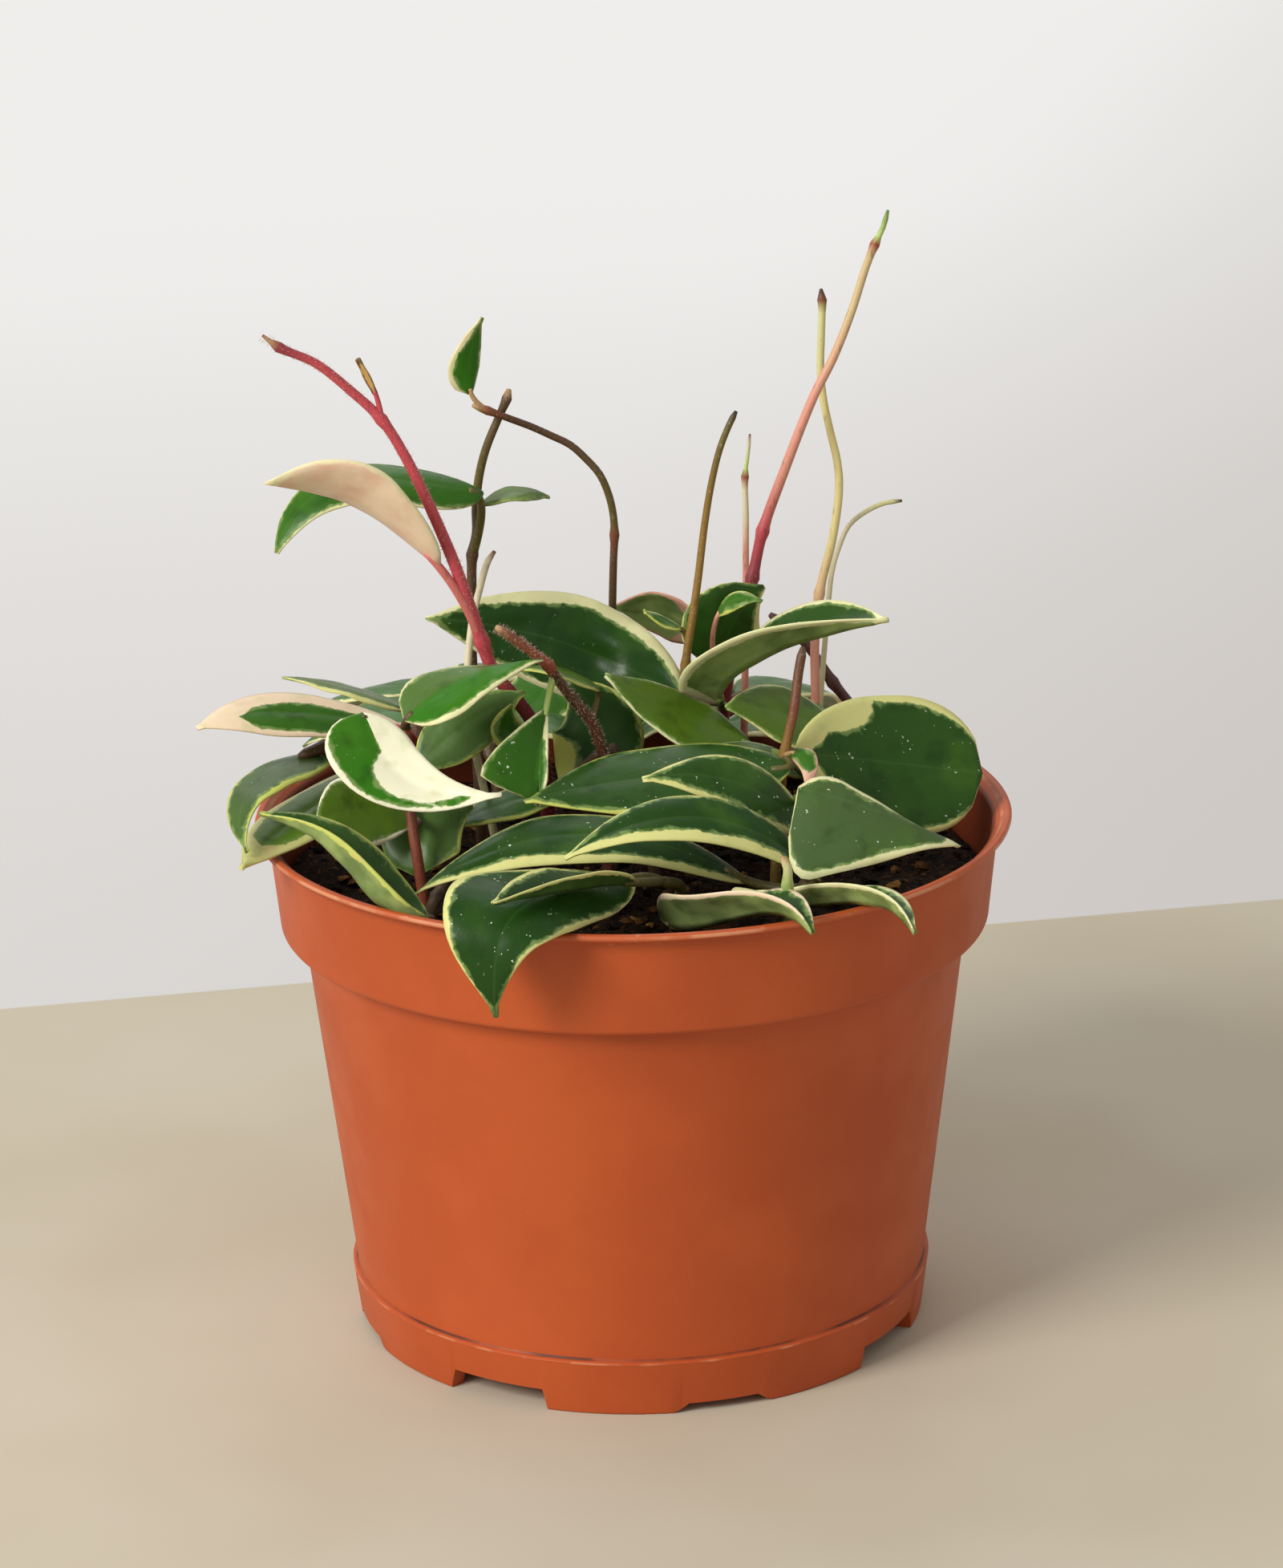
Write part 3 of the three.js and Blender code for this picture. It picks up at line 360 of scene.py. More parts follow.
add_vine(
    "front_left_stem", "brown", radii=(1.2, 1.0), root=(-41, -32), knots=(3,),
    route=[(-42, -31, 106), (-43, -29, 113), (-44, -25, 123), (-44, -22, 131)],
    bark=[(0, "red"), (0.838, "rust"), (1, "red")],
    leaves=[
        # This leaf's left half takes a greyer green, a painted shade on its folded-back half.
        dict(at=3, rib=[(-44, -24, 133), (-33, -21, 140), (-17, -18, 143)],
             side=[(2, -9, -3), (1.5, -7, -1.5)], left=[(-5, 7, 4.5), (0.5, 5, -3)], cup=6, belly=0.3,
             bend=0, green="bright", shaded_left_green="leek", margin=(0.7, 1), flecks=0.3),
        dict(at=2, rib=[(-42, -12, 120), (-33, -9, 127), (-21, -6, 133)], side=[(3.5, -3, -4)],
             green="leek", cream="lemon", margin=(0.3, 0.4), stalk="olive"),
        dict(at=2, rib=[(-52, -28, 136), (-49, -33, 130), (-41, -38, 124), (-25, -44, 124)],
             side=[(-11.5, -6, 0), (-2.5, -5, -4.5)], left=[(6.5, 3, 1), (3.5, 2, 5.5)], belly=0.4, bend=0,
             green="bright", cream="white", margin=(6.2, 0.9), tip=3, patches=[(0.6, -0.5, 10, 8)],
             flecks=0.4),
        # This leaf's stalk takes the colour shade, a painted shade for a stalk set back among the leaves.
        dict(at=0, rib=[(-42.5, -27, 102.1), (-41.2, -24, 108.4), (-31.5, -18, 113.2)],
             side=[(5.5, -4, -3.5)], left=[(-8.5, 4, 2.5)], belly=0.45, green="leek", cream="lemon",
             margin=(0.4, 0.7), stalk="shade"),
        dict(at=1, rib=[(-42.3, -23, 112.4), (-52.3, -27, 115.9), (-61.8, -35, 115.7)], side=[(0, 6, 5)],
             belly=0.55, taper=1.5, green="olive", cream="white", margin=(0.5, 0.7)),
    ],
)
add_vine(
    "centre_vine", "brown", radii=(1.4, 1.1), root=(4, -8), knots=(0,),
    route=[(0, -8, 110), (-4, -3, 121)],
    bark=[(1, "brown")],
    leaves=[
        dict(at=0, rib=[(-14.1, -12, 113.6), (-23.7, -13, 112.4), (-36.4, -17, 108.1)], side=[(1, 6, 1.5)],
             cream="lemon", margin=(0.8, 0.8)),
    ],
)
add_vine(
    "front_vine", "brown", radii=(1.3, 1.1), root=(8, -37), knots=(1,),
    route=[(9, -39, 103), (5, -44, 106)],
    bark=[(1, "olive")],
    leaves=[
        dict(at=1, rib=[(0, -50, 109), (-13, -64, 111), (-23, -79, 111), (-26, -82, 93)],
             side=[(0, 12, 1), (-23.5, 2, 6.5)], left=[(0, -9, -3.5), (12, -2, -4.5)], belly=0.45,
             taper=1.3, green="deep", cream="butter", margin=(0.8, 1.2), stalk="olive", flecks=1),
        dict(at=1, rib=[(0, -56, 110), (-14, -70, 114), (-26, -84, 116)],
             side=[(0, 7, -0.5), (-2.5, 4, 4.5)], left=[(0, -4, 4), (0, -2, 1.5)], cup=10, taper=1.0,
             green="deep", cream="butter", margin=(0.6, 0.8), under="leek", stalk="olive", flecks=0.4),
    ],
)
add_vine(
    "front_right_vine", "brown", radii=(1.4, 1.1), root=(32, -38), knots=(0,),
    route=[(33, -38, 102), (35, -34, 106)],
    bark=[(0, "olive"), (1, "brown")],
    leaves=[
        dict(at=1, rib=[(34, -30, 110), (20, -36, 123), (2, -42, 126)], side=[(1.5, 5, 3.5)], cup=12,
             green="forest", cream="butter", margin=(1.6, 0.5), stalk="olive", flecks=1),
        dict(at=0, rib=[(36, -42, 105), (12, -48, 120), (-13, -56, 115)], side=[(1, 5, 3)],
             left=[(-0.5, -5, -2.5)], cup=12, belly=0.5, taper=1.0, green="deep", cream="butter",
             margin=(2.3, 0.4), stalk="olive", flecks=1),
        dict(at=0, rib=[(22, -34, 102), (-17, -41, 114), (-42, -46, 105)], side=[(0.5, 7, 2.5)], cup=12,
             belly=0.55, green="deep", cream="butter", margin=(1.9, 0.5), stalk="olive", flecks=1),
    ],
)
add_vine(
    "rim_vine", "brown", radii=(1.3, 1.1), root=(-33, -38), knots=(1,),
    route=[(-36, -36, 104), (-38, -42, 103), (-40, -52, 102)],
    bark=[(1, "brown")],
    leaves=[
        dict(at=2, rib=[(-39, -58, 104), (-49, -56, 108), (-57, -54, 117), (-71, -50, 123)],
             side=[(4.5, 9, 3.5), (3, 7, 3.5)], left=[(2.5, -4, 5), (1.5, -3, 3.5)], green="forest",
             cream="lemon", margin=(0.7, 0.6), under="celery", flecks=0.4),
    ],
)
add_vine(
    "back_left_vine", "brown", radii=(1.5, 1.0), root=(-28, 38), knots=(0, 1, 2),
    route=[(-30, 42, 106), (-35, 50, 113), (-41, 59, 115), (-47, 68, 110)],
    bark=[(0, "brown"), (1, "olive")],
    leaves=[
        dict(at=0, rib=[(-25, 45, 109), (-15, 56, 119), (-10, 66, 125)], side=[(8, -6, 0)], cup=10,
             flecks=0.4),
        dict(at=1, rib=[(-38, 48, 112), (-53, 48, 113), (-69, 46, 106)], side=[(0, 11, 0)], cup=10,
             flecks=0.4),
        dict(at=1, rib=[(-32, 56, 116), (-28, 70, 116), (-24, 86, 103)], side=[(9.5, -2.5, 0)], cup=10,
             flecks=0.4),
        dict(at=2, rib=[(-45, 62, 113), (-58, 73, 110), (-66, 87, 97)], side=[(9, 8, 0)], cup=10,
             flecks=0.4),
        dict(at=3, rib=[(-48, 72, 108), (-45, 87, 101), (-39, 99, 85)], side=[(11, -3, 0)], cup=10,
             flecks=0.4),
    ],
)
add_vine(
    "back_right_vine", "pale", radii=(1.3, 1.0), root=(13, 46), knots=(0, 1, 3),
    route=[(14, 48, 105), (18, 56, 110), (22, 66, 111), (25, 75, 106)],
    bark=[(0, "olive"), (1, "green")],
    leaves=[
        dict(at=0, rib=[(18, 49, 107), (32, 51, 109), (47, 53, 105)], side=[(2.5, -9, 0)], cup=10,
             flecks=0.4),
        dict(at=0, rib=[(10, 50, 109), (2, 58, 116), (1, 69, 119)], side=[(10.5, 1, 0)], cup=10, flecks=0.4),
        dict(at=1, rib=[(14, 60, 112), (5, 72, 112), (-2, 87, 101)], side=[(10, 7, 0)], cup=10, flecks=0.4),
        dict(at=1, rib=[(22, 60, 111), (34, 70, 111), (44, 83, 99)], side=[(7.5, -7, 0)], cup=10,
             flecks=0.4),
        dict(at=3, rib=[(25, 78, 105), (22, 91, 99), (17, 104, 86)], side=[(9, 2, 0)], cup=10, flecks=0.4),
    ],
)

# What a leaf looks like where its entry above says nothing else. margin is the width of the cream edge on
# the left and the right half, tip and base what is added to it at the two ends, and patches are cream
# spots as (share along the rib, share across, radius, strength).
LEAF_LOOK = dict(
    green="mid", cream="cream", margin=(1.2, 1.2), tip=0, base=0, patches=(), flecks=0,
    under="pale", stalk="brown", ripple=0.5, pucker=0.25,
)


# --- curves -------------------------------------------------------------------------------------------

RIB_SAMPLES = 20


def smooth_line(points, step):
    """Points about step apart on the centripetal Catmull-Rom curve through the given points."""
    ends = [2 * points[0] - points[1], *points, 2 * points[-1] - points[-2]]
    line = []
    for before, start, end, after in zip(ends, ends[1:], ends[2:], ends[3:]):
        spans = [math.sqrt((b - a).length) for a, b in ((before, start), (start, end), (end, after))]
        middle = (end - start) / spans[1]
        leave = (start - before) / spans[0] - (end - before) / (spans[0] + spans[1]) + middle
        reach = middle - (after - start) / (spans[1] + spans[2]) + (after - end) / spans[2]
        leave, reach = leave * spans[1], reach * spans[1]
        count = max(1, round((end - start).length / step))
        for i in range(count):
            t = i / count
            line.append(
                start + leave * t + (3 * (end - start) - 2 * leave - reach) * t**2
                + (2 * (start - end) + leave + reach) * t**3
            )
    return [*line, points[-1].copy()]


def shares(line):
    """How far along the line each of its points is, from 0 to 1, and the line's length."""
    reached = [0.0]
    for a, b in zip(line, line[1:]):
        reached.append(reached[-1] + (b - a).length)
    return [r / reached[-1] for r in reached], reached[-1]


class Rib:
    """The midrib of a leaf: a cubic curve through its 3 or 4 points."""

    def __init__(self, points):
        p = [Vector(q) for q in points]
        if len(p) == 4:
            early = (-5 * p[0] + 18 * p[1] - 9 * p[2] + 2 * p[3]) / 6
            late = (2 * p[0] - 9 * p[1] + 18 * p[2] - 5 * p[3]) / 6
        else:
            first, second = (p[1] - p[0]).length, (p[2] - p[1]).length
            at = first / (first + second)
            pull = (p[1] - (1 - at) ** 2 * p[0] - at**2 * p[2]) / (2 * at * (1 - at))
            early, late = (p[0] + 2 * pull) / 3, (p[2] + 2 * pull) / 3
        self.controls = [p[0], early, late, p[-1]]
        samples = [self.point(i / RIB_SAMPLES) for i in range(RIB_SAMPLES + 1)]
        self.length = sum((b - a).length for a, b in zip(samples, samples[1:]))

    def point(self, t):
        a, b, c, d = self.controls
        s = 1 - t
        return a * s**3 + b * (3 * s * s * t) + c * (3 * s * t * t) + d * t**3

    def ahead(self, t):
        a, b, c, d = self.controls
        s = 1 - t
        return ((b - a) * s * s + (c - b) * (2 * s * t) + (d - c) * t * t).normalized()


def blend(a, b, t):
    return a + (b - a) * t


def step_up(value, low, high):
    """0 below low, 1 above high and smooth between."""
    t = min(1.0, max(0.0, (value - low) / (high - low)))
    return t * t * (3 - 2 * t)


def bell(away):
    """1 at 0 and falling off smoothly to both sides."""
    return math.exp(-(away**2))


# --- meshes -------------------------------------------------------------------------------------------


def made(bm, name, finish, node, smooth=True, corner=180):
    """The finished piece from a bmesh in millimetres about the pot's axis.

    Edges that turn by more than `corner` degrees are shaded sharp.
    """
    for edge in bm.edges:
        edge.smooth = edge.calc_face_angle(0) < math.radians(corner)
    bmesh.ops.scale(bm, vec=(MM, MM, MM), verts=bm.verts)
    bmesh.ops.translate(bm, vec=POT_AXIS, verts=bm.verts)
    for face in bm.faces:
        face.smooth = smooth
    mesh = bpy.data.meshes.new(name)
    bm.to_mesh(mesh)
    bm.free()
    mesh.materials.append(finish)
    piece = bpy.data.objects.new(name, mesh)
    bpy.context.scene.collection.objects.link(piece)
    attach(piece, "root")
    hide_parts(node)
    return piece


def new_verts(bm, before):
    """The vertices that were added since there were `before` of them."""
    bm.verts.ensure_lookup_table()
    return bm.verts[before:]


def tube(bm, line, radius_at, tone_at, sides):
    """A closed tube along a line. radius_at and tone_at take the share of the length."""
    before = len(bm.verts)
    cone = bmesh.ops.create_cone(
        bm, cap_ends=True, cap_tris=False, segments=sides, radius1=1, radius2=1, depth=1
    )
    own = {edge for vert in cone["verts"] for edge in vert.link_edges}
    uprights = [edge for edge in bm.edges if edge in own and edge.verts[0].co.z != edge.verts[1].co.z]
    bmesh.ops.subdivide_edges(bm, edges=uprights, cuts=len(line) - 2)
    at, _ = shares(line)
    tone = bm.verts.layers.float_color["tone"]
    frames = turning_frames(line)
    for vert in new_verts(bm, before):
        ring = round((vert.co.z + 0.5) * (len(line) - 1))
        across, over = frames[ring]
        radius = radius_at(at[ring])
        vert[tone] = tone_at(at[ring])
        vert.co = line[ring] + across * (vert.co.x * radius) + over * (vert.co.y * radius)


def turning_frames(line):
    """Two directions across the line at each point, carried along without twist."""
    frames = []
    across = None
    for i in range(len(line)):
        ahead = (line[min(i + 1, len(line) - 1)] - line[max(i - 1, 0)]).normalized()
        if across is None:
            across = ahead.orthogonal()
        across = (across - ahead * across.dot(ahead)).normalized()
        frames.append((across.copy(), ahead.cross(across)))
    return frames


# --- stems --------------------------------------------------------------------------------------------


def gradient(stops, share):
    """The colour at a share of the length, between named stops. The end colours go on beyond them."""
    for (low, first), (high, second) in zip(stops, stops[1:]):
        if share <= high:
            t = max(0, (share - low) / (high - low))
            return [blend(a, b, t) for a, b in zip(BARKS[first], BARKS[second])]
    return BARKS[stops[-1][1]]


def stem(bm, vine):
    """The stem with a swelling at each knot, a thinner young shoot on some and a rounded tip."""
    root = vine["root"]
    points = [Vector((*root, STEM["foot"])), Vector((*root, STEM["straight"])), *map(Vector, vine["route"])]
    line = smooth_line(points, STEM["step"])
    at, length = shares(line)
    knots = []
    for index in vine["knots"]:
        place = Vector(vine["route"][index])
        knots.append(min(range(len(line)), key=lambda i: (line[i] - place).length))
    knot_shares = [at[i] for i in knots]
    shoot, slimmed = vine.get("shoot", (1, 1))

    def radius(share):
        plain = blend(*vine["radii"], share)
        swell = sum(bell((share - k) * length / STEM["swell_reach"]) for k in knot_shares)
        end = bell((1 - share) * length / STEM["tip_reach"])
        slim = blend(1, slimmed, step_up((share - shoot) * length, *STEM["shoot_starts"]))
        return plain * slim * (1 + STEM["swell"] * swell - STEM["narrowed"] * end)

    tube(bm, line, radius, lambda share: gradient(vine["bark"], share), STEM["sides"])
    return line


def petiole(bm, start, rib, bow, tone):
    """The leaf stalk, from the stem's middle into the rib."""
    base = rib.point(0)
    reach = (base - start).length
    bend = base - rib.ahead(0) * (bow * reach)
    early, late = bend.lerp(start, PETIOLE["pull"]), bend.lerp(base, PETIOLE["pull"])
    end = rib.point(PETIOLE["sunk"])
    line = []
    for i in range(PETIOLE["steps"] + 1):
        t = i / PETIOLE["steps"]
        s = 1 - t
        line.append(start * s**3 + early * (3 * s * s * t) + late * (3 * s * t * t) + end * t**3)
    slim = min(1, max(PETIOLE["least"], rib.length / PETIOLE["full"]))
    tube(bm, line, lambda share: slim * blend(*PETIOLE["radii"], share), lambda share: tone, PETIOLE["sides"])


def hairs(vine, line, finish):
    """Short hairs that stand off the stem."""
    bm = bmesh.new()
    draw = random.Random(SEED)
    frames = turning_frames(line)
    for i, point in enumerate(line[:-1]):
        if point.z < SOIL["surface"]:
            continue
        for _ in range(round(vine["hairs"] * STEM["step"] * HAIR["per_mm"])):
            turn = draw.uniform(0, 2 * math.pi)
            out = frames[i][0] * math.cos(turn) + frames[i][1] * math.sin(turn)
            tilt = out + Vector([draw.uniform(-HAIR["lean"], HAIR["lean"]) for _ in range(3)])
            length = draw.uniform(*HAIR["length"])
            radius = blend(*vine["radii"], i / len(line)) * HAIR["rooted"]
            foot = point.lerp(line[i + 1], draw.random()) + out * radius
            tilted = tilt.to_track_quat("Z", "Y").to_matrix().to_4x4()
            place = Matrix.Translation(foot + tilt.normalized() * length / 2) @ tilted
            thick, thin = HAIR["radii"]
            bmesh.ops.create_cone(
                bm, cap_ends=False, segments=3, radius1=thick, radius2=thin, depth=length, matrix=place
            )
    return made(bm, vine["node"] + "_hairs", finish, vine["node"])


# --- leaves -------------------------------------------------------------------------------------------

# What each vertex of a leaf carries for the leaf's finish.
LEAF_MARKS = ("margin", "upper", "across", "flecks")
LEAF_COLOURS = ("green", "cream", "under")


def half_width(t, belly, taper):
    """Half the width of a leaf at t along its rib, as a share of its widest."""
    if t < belly:
        return (1 - ((belly - t) / belly) ** 2) ** BLADE["shoulder"]
    return (1 - ((t - belly) / (1 - belly)) ** 2) ** taper


def edge_way(edges, t, ahead):
    """The way from the rib to one edge at t, square to the rib, and the widest half width."""
    way = edges[0].lerp(edges[-1], t)
    return (way - ahead * way.dot(ahead)).normalized(), way.length


def half_way(rights, lefts, u, t, ahead):
    """The way across the blade at (u, t), the widest half width there and the upper side's direction."""
    right, right_widest = edge_way(rights, t, ahead)
    left, left_widest = edge_way(lefts, t, ahead)
    right_up, left_up = right.cross(ahead), ahead.cross(left)
    middle = (right_up + left_up).normalized()
    middle /= max(BLADE["mitre"], middle.dot(right_up))
    near = step_up(abs(u), 0.0, BLADE["fold"])
    if u < 0:
        return left, left_widest, middle.lerp(left_up, near)
    return right, right_widest, middle.lerp(right_up, near)


def end_margin(amount, reach, away):
    """What is added to the margin at a distance from the tip or the base."""
    return amount * step_up(amount * reach - away, 0, amount + 0.01)


class LeafShape:
    """The form of one leaf: where each place on its two faces lies."""

    def __init__(self, leaf, rib, phase):
        self.rib, self.phase = rib, phase
        self.look = {**LEAF_LOOK, **leaf}
        self.belly, self.taper = leaf.get("belly", BLADE["belly"]), leaf.get("taper", BLADE["taper"])
        self.cup = math.radians(leaf.get("cup", BLADE["cup"]))
        self.rights = [Vector(s) for s in leaf["side"]]
        self.lefts = [Vector(s) for s in leaf["left"]] if "left" in leaf else [-s for s in self.rights]

    def noise(self, u, t, wave, shift=0):
        return noise.noise((t * wave["turns"], u * wave["across"], self.phase + shift))

    def place(self, u, t, top):
        """Where (u, t) lies, the widest half width there, the half width and its share of the widest."""
        ahead = self.rib.ahead(t)
        way, widest, up = half_way(self.rights, self.lefts, u, t, ahead)
        share = half_width(t, self.belly, self.taper)
        wave = noise.noise((t * EDGE_WAVE["turns"], u * EDGE_WAVE["across"] + self.phase, 0))
        half = max(widest * share * (1 + EDGE_WAVE["height"] * wave), BLADE["least_half_width"])
        angle = abs(u) * self.cup
        rim = step_up((1 - abs(u)) * half, 0, RIM["reach"])
        height = BLADE["half_thickness"] * blend(RIM["share"], 1, rim) * (1 if top else -1)
        relief = self.look["ripple"] * u * u * self.noise(u, t, RIPPLE)
        relief += self.look["pucker"] * share * self.noise(u, t, PUCKER, PUCKER["shift"])
        relief *= min(1, widest / FULL_RELIEF)
        crease = CREASE["depth"] * bell(u * half / CREASE["width"]) * (1 if top else CREASE["under"])
        relief -= crease * share
        spot = (
            self.rib.point(t)
            + way * (math.sin(angle) / self.cup * half + math.sin(angle) * height)
            + up * ((math.cos(angle) - 1) / self.cup * half + math.cos(angle) * height + relief)
        )
        return spot, widest, half, share

    def creaminess(self, u, t, widest, half, share):
        """How far inside the cream margin or a cream patch (u, t) lies; below 0 it is outside."""
        look, length = self.look, self.rib.length
        width = look["margin"][0 if u < 0 else 1] * min(1, share + MARGIN["at_ends"])
        width += end_margin(look["tip"], MARGIN["tip_reach"], (1 - t) * length)
        width += end_margin(look["base"], MARGIN["base_reach"], t * length)
        field = width - (1 - abs(u)) * half
        for patch_t, patch_u, radius, strength in look["patches"]:
            away = math.hypot((t - patch_t) * length, (u - patch_u) * widest) / radius
            field = max(field, strength * (1 - away))
        return field


def blade(bm, leaf, rib, number):
    """A leaf blade: a grid folded up into a thin slab, laid along the rib and cupped across it."""
    shape = LeafShape(leaf, rib, number * LEAF_PHASE)
    look = shape.look
    along = max(BLADE["least_cells"], round(rib.length / BLADE["cell"]))
    before = len(bm.verts)
    grid = bmesh.ops.create_grid(bm, x_segments=BLADE["across"], y_segments=along, size=1)
    lower = set(grid["verts"])
    faces = list({f for v in lower for f in v.link_faces})
    bmesh.ops.extrude_face_region(bm, geom=faces, use_keep_orig=True)
    marks = {name: bm.verts.layers.float[name] for name in LEAF_MARKS}
    colours = {name: bm.verts.layers.float_color[name] for name in LEAF_COLOURS}
    faces = set()
    for vert in new_verts(bm, before):
        top = vert not in lower
        u, t = vert.co.x, (vert.co.y + 1) / 2
        vert.co, widest, half, share = shape.place(u, t, top)
        vert[marks["margin"]] = shape.creaminess(u, t, widest, half, share)
        vert[marks["upper"]] = 1.0 if top else 0.0
        vert[marks["across"]] = u * half
        vert[marks["flecks"]] = look["flecks"]
        # A leaf may give its left half its own green, which stands for painted shade on a folded-back half.
        green = look.get("shaded_left_green", look["green"]) if u < 0 else look["green"]
        vert[colours["green"]] = GREENS[green]
        vert[colours["cream"]] = CREAMS[look["cream"]]
        vert[colours["under"]] = GREENS[look["under"]]
        faces.update(vert.link_faces)
    bmesh.ops.recalc_face_normals(bm, faces=list(faces))


def foliage(vine, finish):
    bm = bmesh.new()
    for name in LEAF_MARKS:
        bm.verts.layers.float.new(name)
    for name in LEAF_COLOURS:
        bm.verts.layers.float_color.new(name)
    for number, leaf in enumerate(vine["leaves"]):
        blade(bm, leaf, Rib(leaf["rib"]), number + len(vine["node"]) * 3)
    return made(bm, vine["node"] + "_leaves", finish, vine["node"])


def vine_pieces(vine, finishes):
    bm = bmesh.new()
    bm.verts.layers.float_color.new("tone")
    line = stem(bm, vine)
    for leaf in vine["leaves"]:
        tone = BARKS[leaf.get("stalk", LEAF_LOOK["stalk"])]
        bow = leaf.get("bend", PETIOLE["bend"])
        petiole(bm, Vector(vine["route"][leaf["at"]]), Rib(leaf["rib"]), bow, tone)
    made(bm, vine["node"] + "_stem", finishes["bark"], vine["node"])
    if vine["leaves"]:
        foliage(vine, finishes["leaf"])
    if "hairs" in vine:
        hairs(vine, line, finishes["hair"])


# --- pot and soil -------------------------------------------------------------------------------------


def rounded(points, radius):
    """The outline with each corner turned into a short arc. The first and last points stay."""
    line = [points[0]]
    for before, corner, after in zip(points, points[1:], points[2:]):
        reach = min(radius, (before - corner).length * 0.4, (after - corner).length * 0.4)
        start = corner + (before - corner).normalized() * reach
        end = corner + (after - corner).normalized() * reach
        for i in range(4):
            t = i / 3
            line.append(start * (1 - t) ** 2 + corner * (2 * t * (1 - t)) + end * t**2)
    return [*line, points[-1]]


def turned(bm, profile, steps):
    """A shell of revolution about the pot's axis from points (radius, 0, height)."""
    verts = [bm.verts.new(p) for p in profile]
    edges = [bm.edges.new(pair) for pair in zip(verts, verts[1:])]
    bmesh.ops.spin(
        bm, geom=[*verts, *edges], cent=(0, 0, 0), axis=(0, 0, 1), angle=2 * math.pi,
        steps=steps, use_merge=True, use_duplicate=False,
    )
    bmesh.ops.remove_doubles(bm, verts=bm.verts, dist=1e-4)
    bmesh.ops.recalc_face_normals(bm, faces=bm.faces)


def outline(points):
    return [Vector((radius, 0, height)) for radius, height in points]


def foot_clearance(angle):
    """How high the foot is cut away at an angle from the front."""
    cleared = 0.0
    for notch in NOTCHES:
        for middle in notch["angles"]:
            away = abs((angle - middle + 180) % 360 - 180)
            share = (notch["half"] + notch["slope"] - away) / notch["slope"]
            cleared = max(cleared, notch["height"] * min(1.0, max(0.0, share)))
    return cleared


def pot(finish):
    """One thin shell: up the outside from the middle of the floor to the lip, and down the inside."""
    p = POT
    inside = [
        (p["lip"] - 1.5, p["height"]), (p["lip"] - 2.1, p["height"] - 0.7),
        (p["band_upper"] - p["wall"], p["height"] - 2.2),
        (p["band_lower"] - p["wall"], p["band_bottom"] + 1.6),
        (p["body_top"] - p["wall"], p["band_bottom"] + 0.4), (p["body_bottom"] - p["wall"], p["floor_top"]),
        (0, p["floor_top"]),
    ]
    outside = [
        (0, p["floor_under"]), (p["foot_inner"] - 0.9, p["floor_under"]), (p["foot_inner"], 0),
        (p["foot_outer"], 0), (p["foot_top"], p["foot_height"]), (p["seam"], p["foot_height"] + 0.4),
        (p["body_bottom"], p["foot_height"] + 0.9), (p["body_top"], p["band_bottom"] - 0.5),
        (p["band_lower"] - 0.7, p["band_bottom"] - 0.3), (p["band_lower"], p["band_bottom"] + 0.5),
        (p["band_upper"], p["height"] - 1.8), (p["lip"] - 0.4, p["height"] - 1.4),
        (p["lip"], p["height"] - 0.7), (p["lip"] - 0.4, p["height"]),
    ]
    bm = bmesh.new()
    turned(bm, rounded(outline(outside + inside), 0.5), 360)
    foot = [v for v in bm.verts if v.co.z < NOTCH_LIMIT and v.co.xy.length > p["foot_inner"] - 1]
    for vert in foot:
        angle = math.degrees(math.atan2(vert.co.x, -vert.co.y))
        vert.co.z = max(vert.co.z, foot_clearance(angle))
    bmesh.ops.remove_doubles(bm, verts=foot, dist=1e-3)
    return made(bm, "nursery_pot", finish, "pot", corner=40)


def drain_holes(finish):
    """The dark mouths of the drain holes, under the floor: one in the middle and a ring of them."""
    bm = bmesh.new()
    turns = [2 * math.pi * i / DRAIN["count"] for i in range(DRAIN["count"])]
    ring = [(DRAIN["circle"] * math.cos(turn), DRAIN["circle"] * math.sin(turn)) for turn in turns]
    for x, y in [(0, 0), *ring]:
        spot = Matrix.Translation((x, y, POT["floor_under"] - DRAIN["proud"]))
        bmesh.ops.create_circle(bm, cap_ends=True, segments=32, radius=DRAIN["radius"], matrix=spot)
    return made(bm, "drain_holes", finish, "pot", smooth=False)


def lumps(x, y):
    """The gentle unevenness of the soil's top."""
    return SOIL["bump"] * (math.sin(x / 5.1 + 1.3) * math.cos(y / 6.3) + 0.6 * math.sin((x + 2 * y) / 8.7))


def soil(finish):
    """The filling, a little inside the pot's wall and floor, with a grainy top."""
    p, surface, gap = POT, SOIL["surface"], SOIL["gap"]
    profile = [
        (0, p["floor_top"] + gap), (p["body_bottom"] - p["wall"] - gap, p["floor_top"] + gap),
        (p["body_top"] - p["wall"] - 2 * gap, p["band_bottom"] + 0.8),
        (p["band_lower"] - p["wall"] - 2 * gap, p["band_bottom"] + 2.2), (SOIL["edge"], surface - 2),
    ]
    rings = SOIL["rings"]
    profile += [(SOIL["edge"] * SOIL["flat"] * i / rings, surface) for i in range(rings, -1, -1)]
    bm = bmesh.new()
    turned(bm, outline(profile), SOIL["sides"])
    for vert in bm.verts:
        if vert.co.z > surface - 1:
            x, y, _ = vert.co
            fade = 1 - step_up(math.hypot(x, y), SOIL["edge"] - SOIL["fades_over"], SOIL["edge"])
            layers = SOIL["grain"]
            grain = sum(height * noise.noise(Vector((x, y, shift)) / size) for size, height, shift in layers)
            vert.co.z += lumps(x, y) + grain * fade
    return made(bm, "potting_mix", finish, "soil")


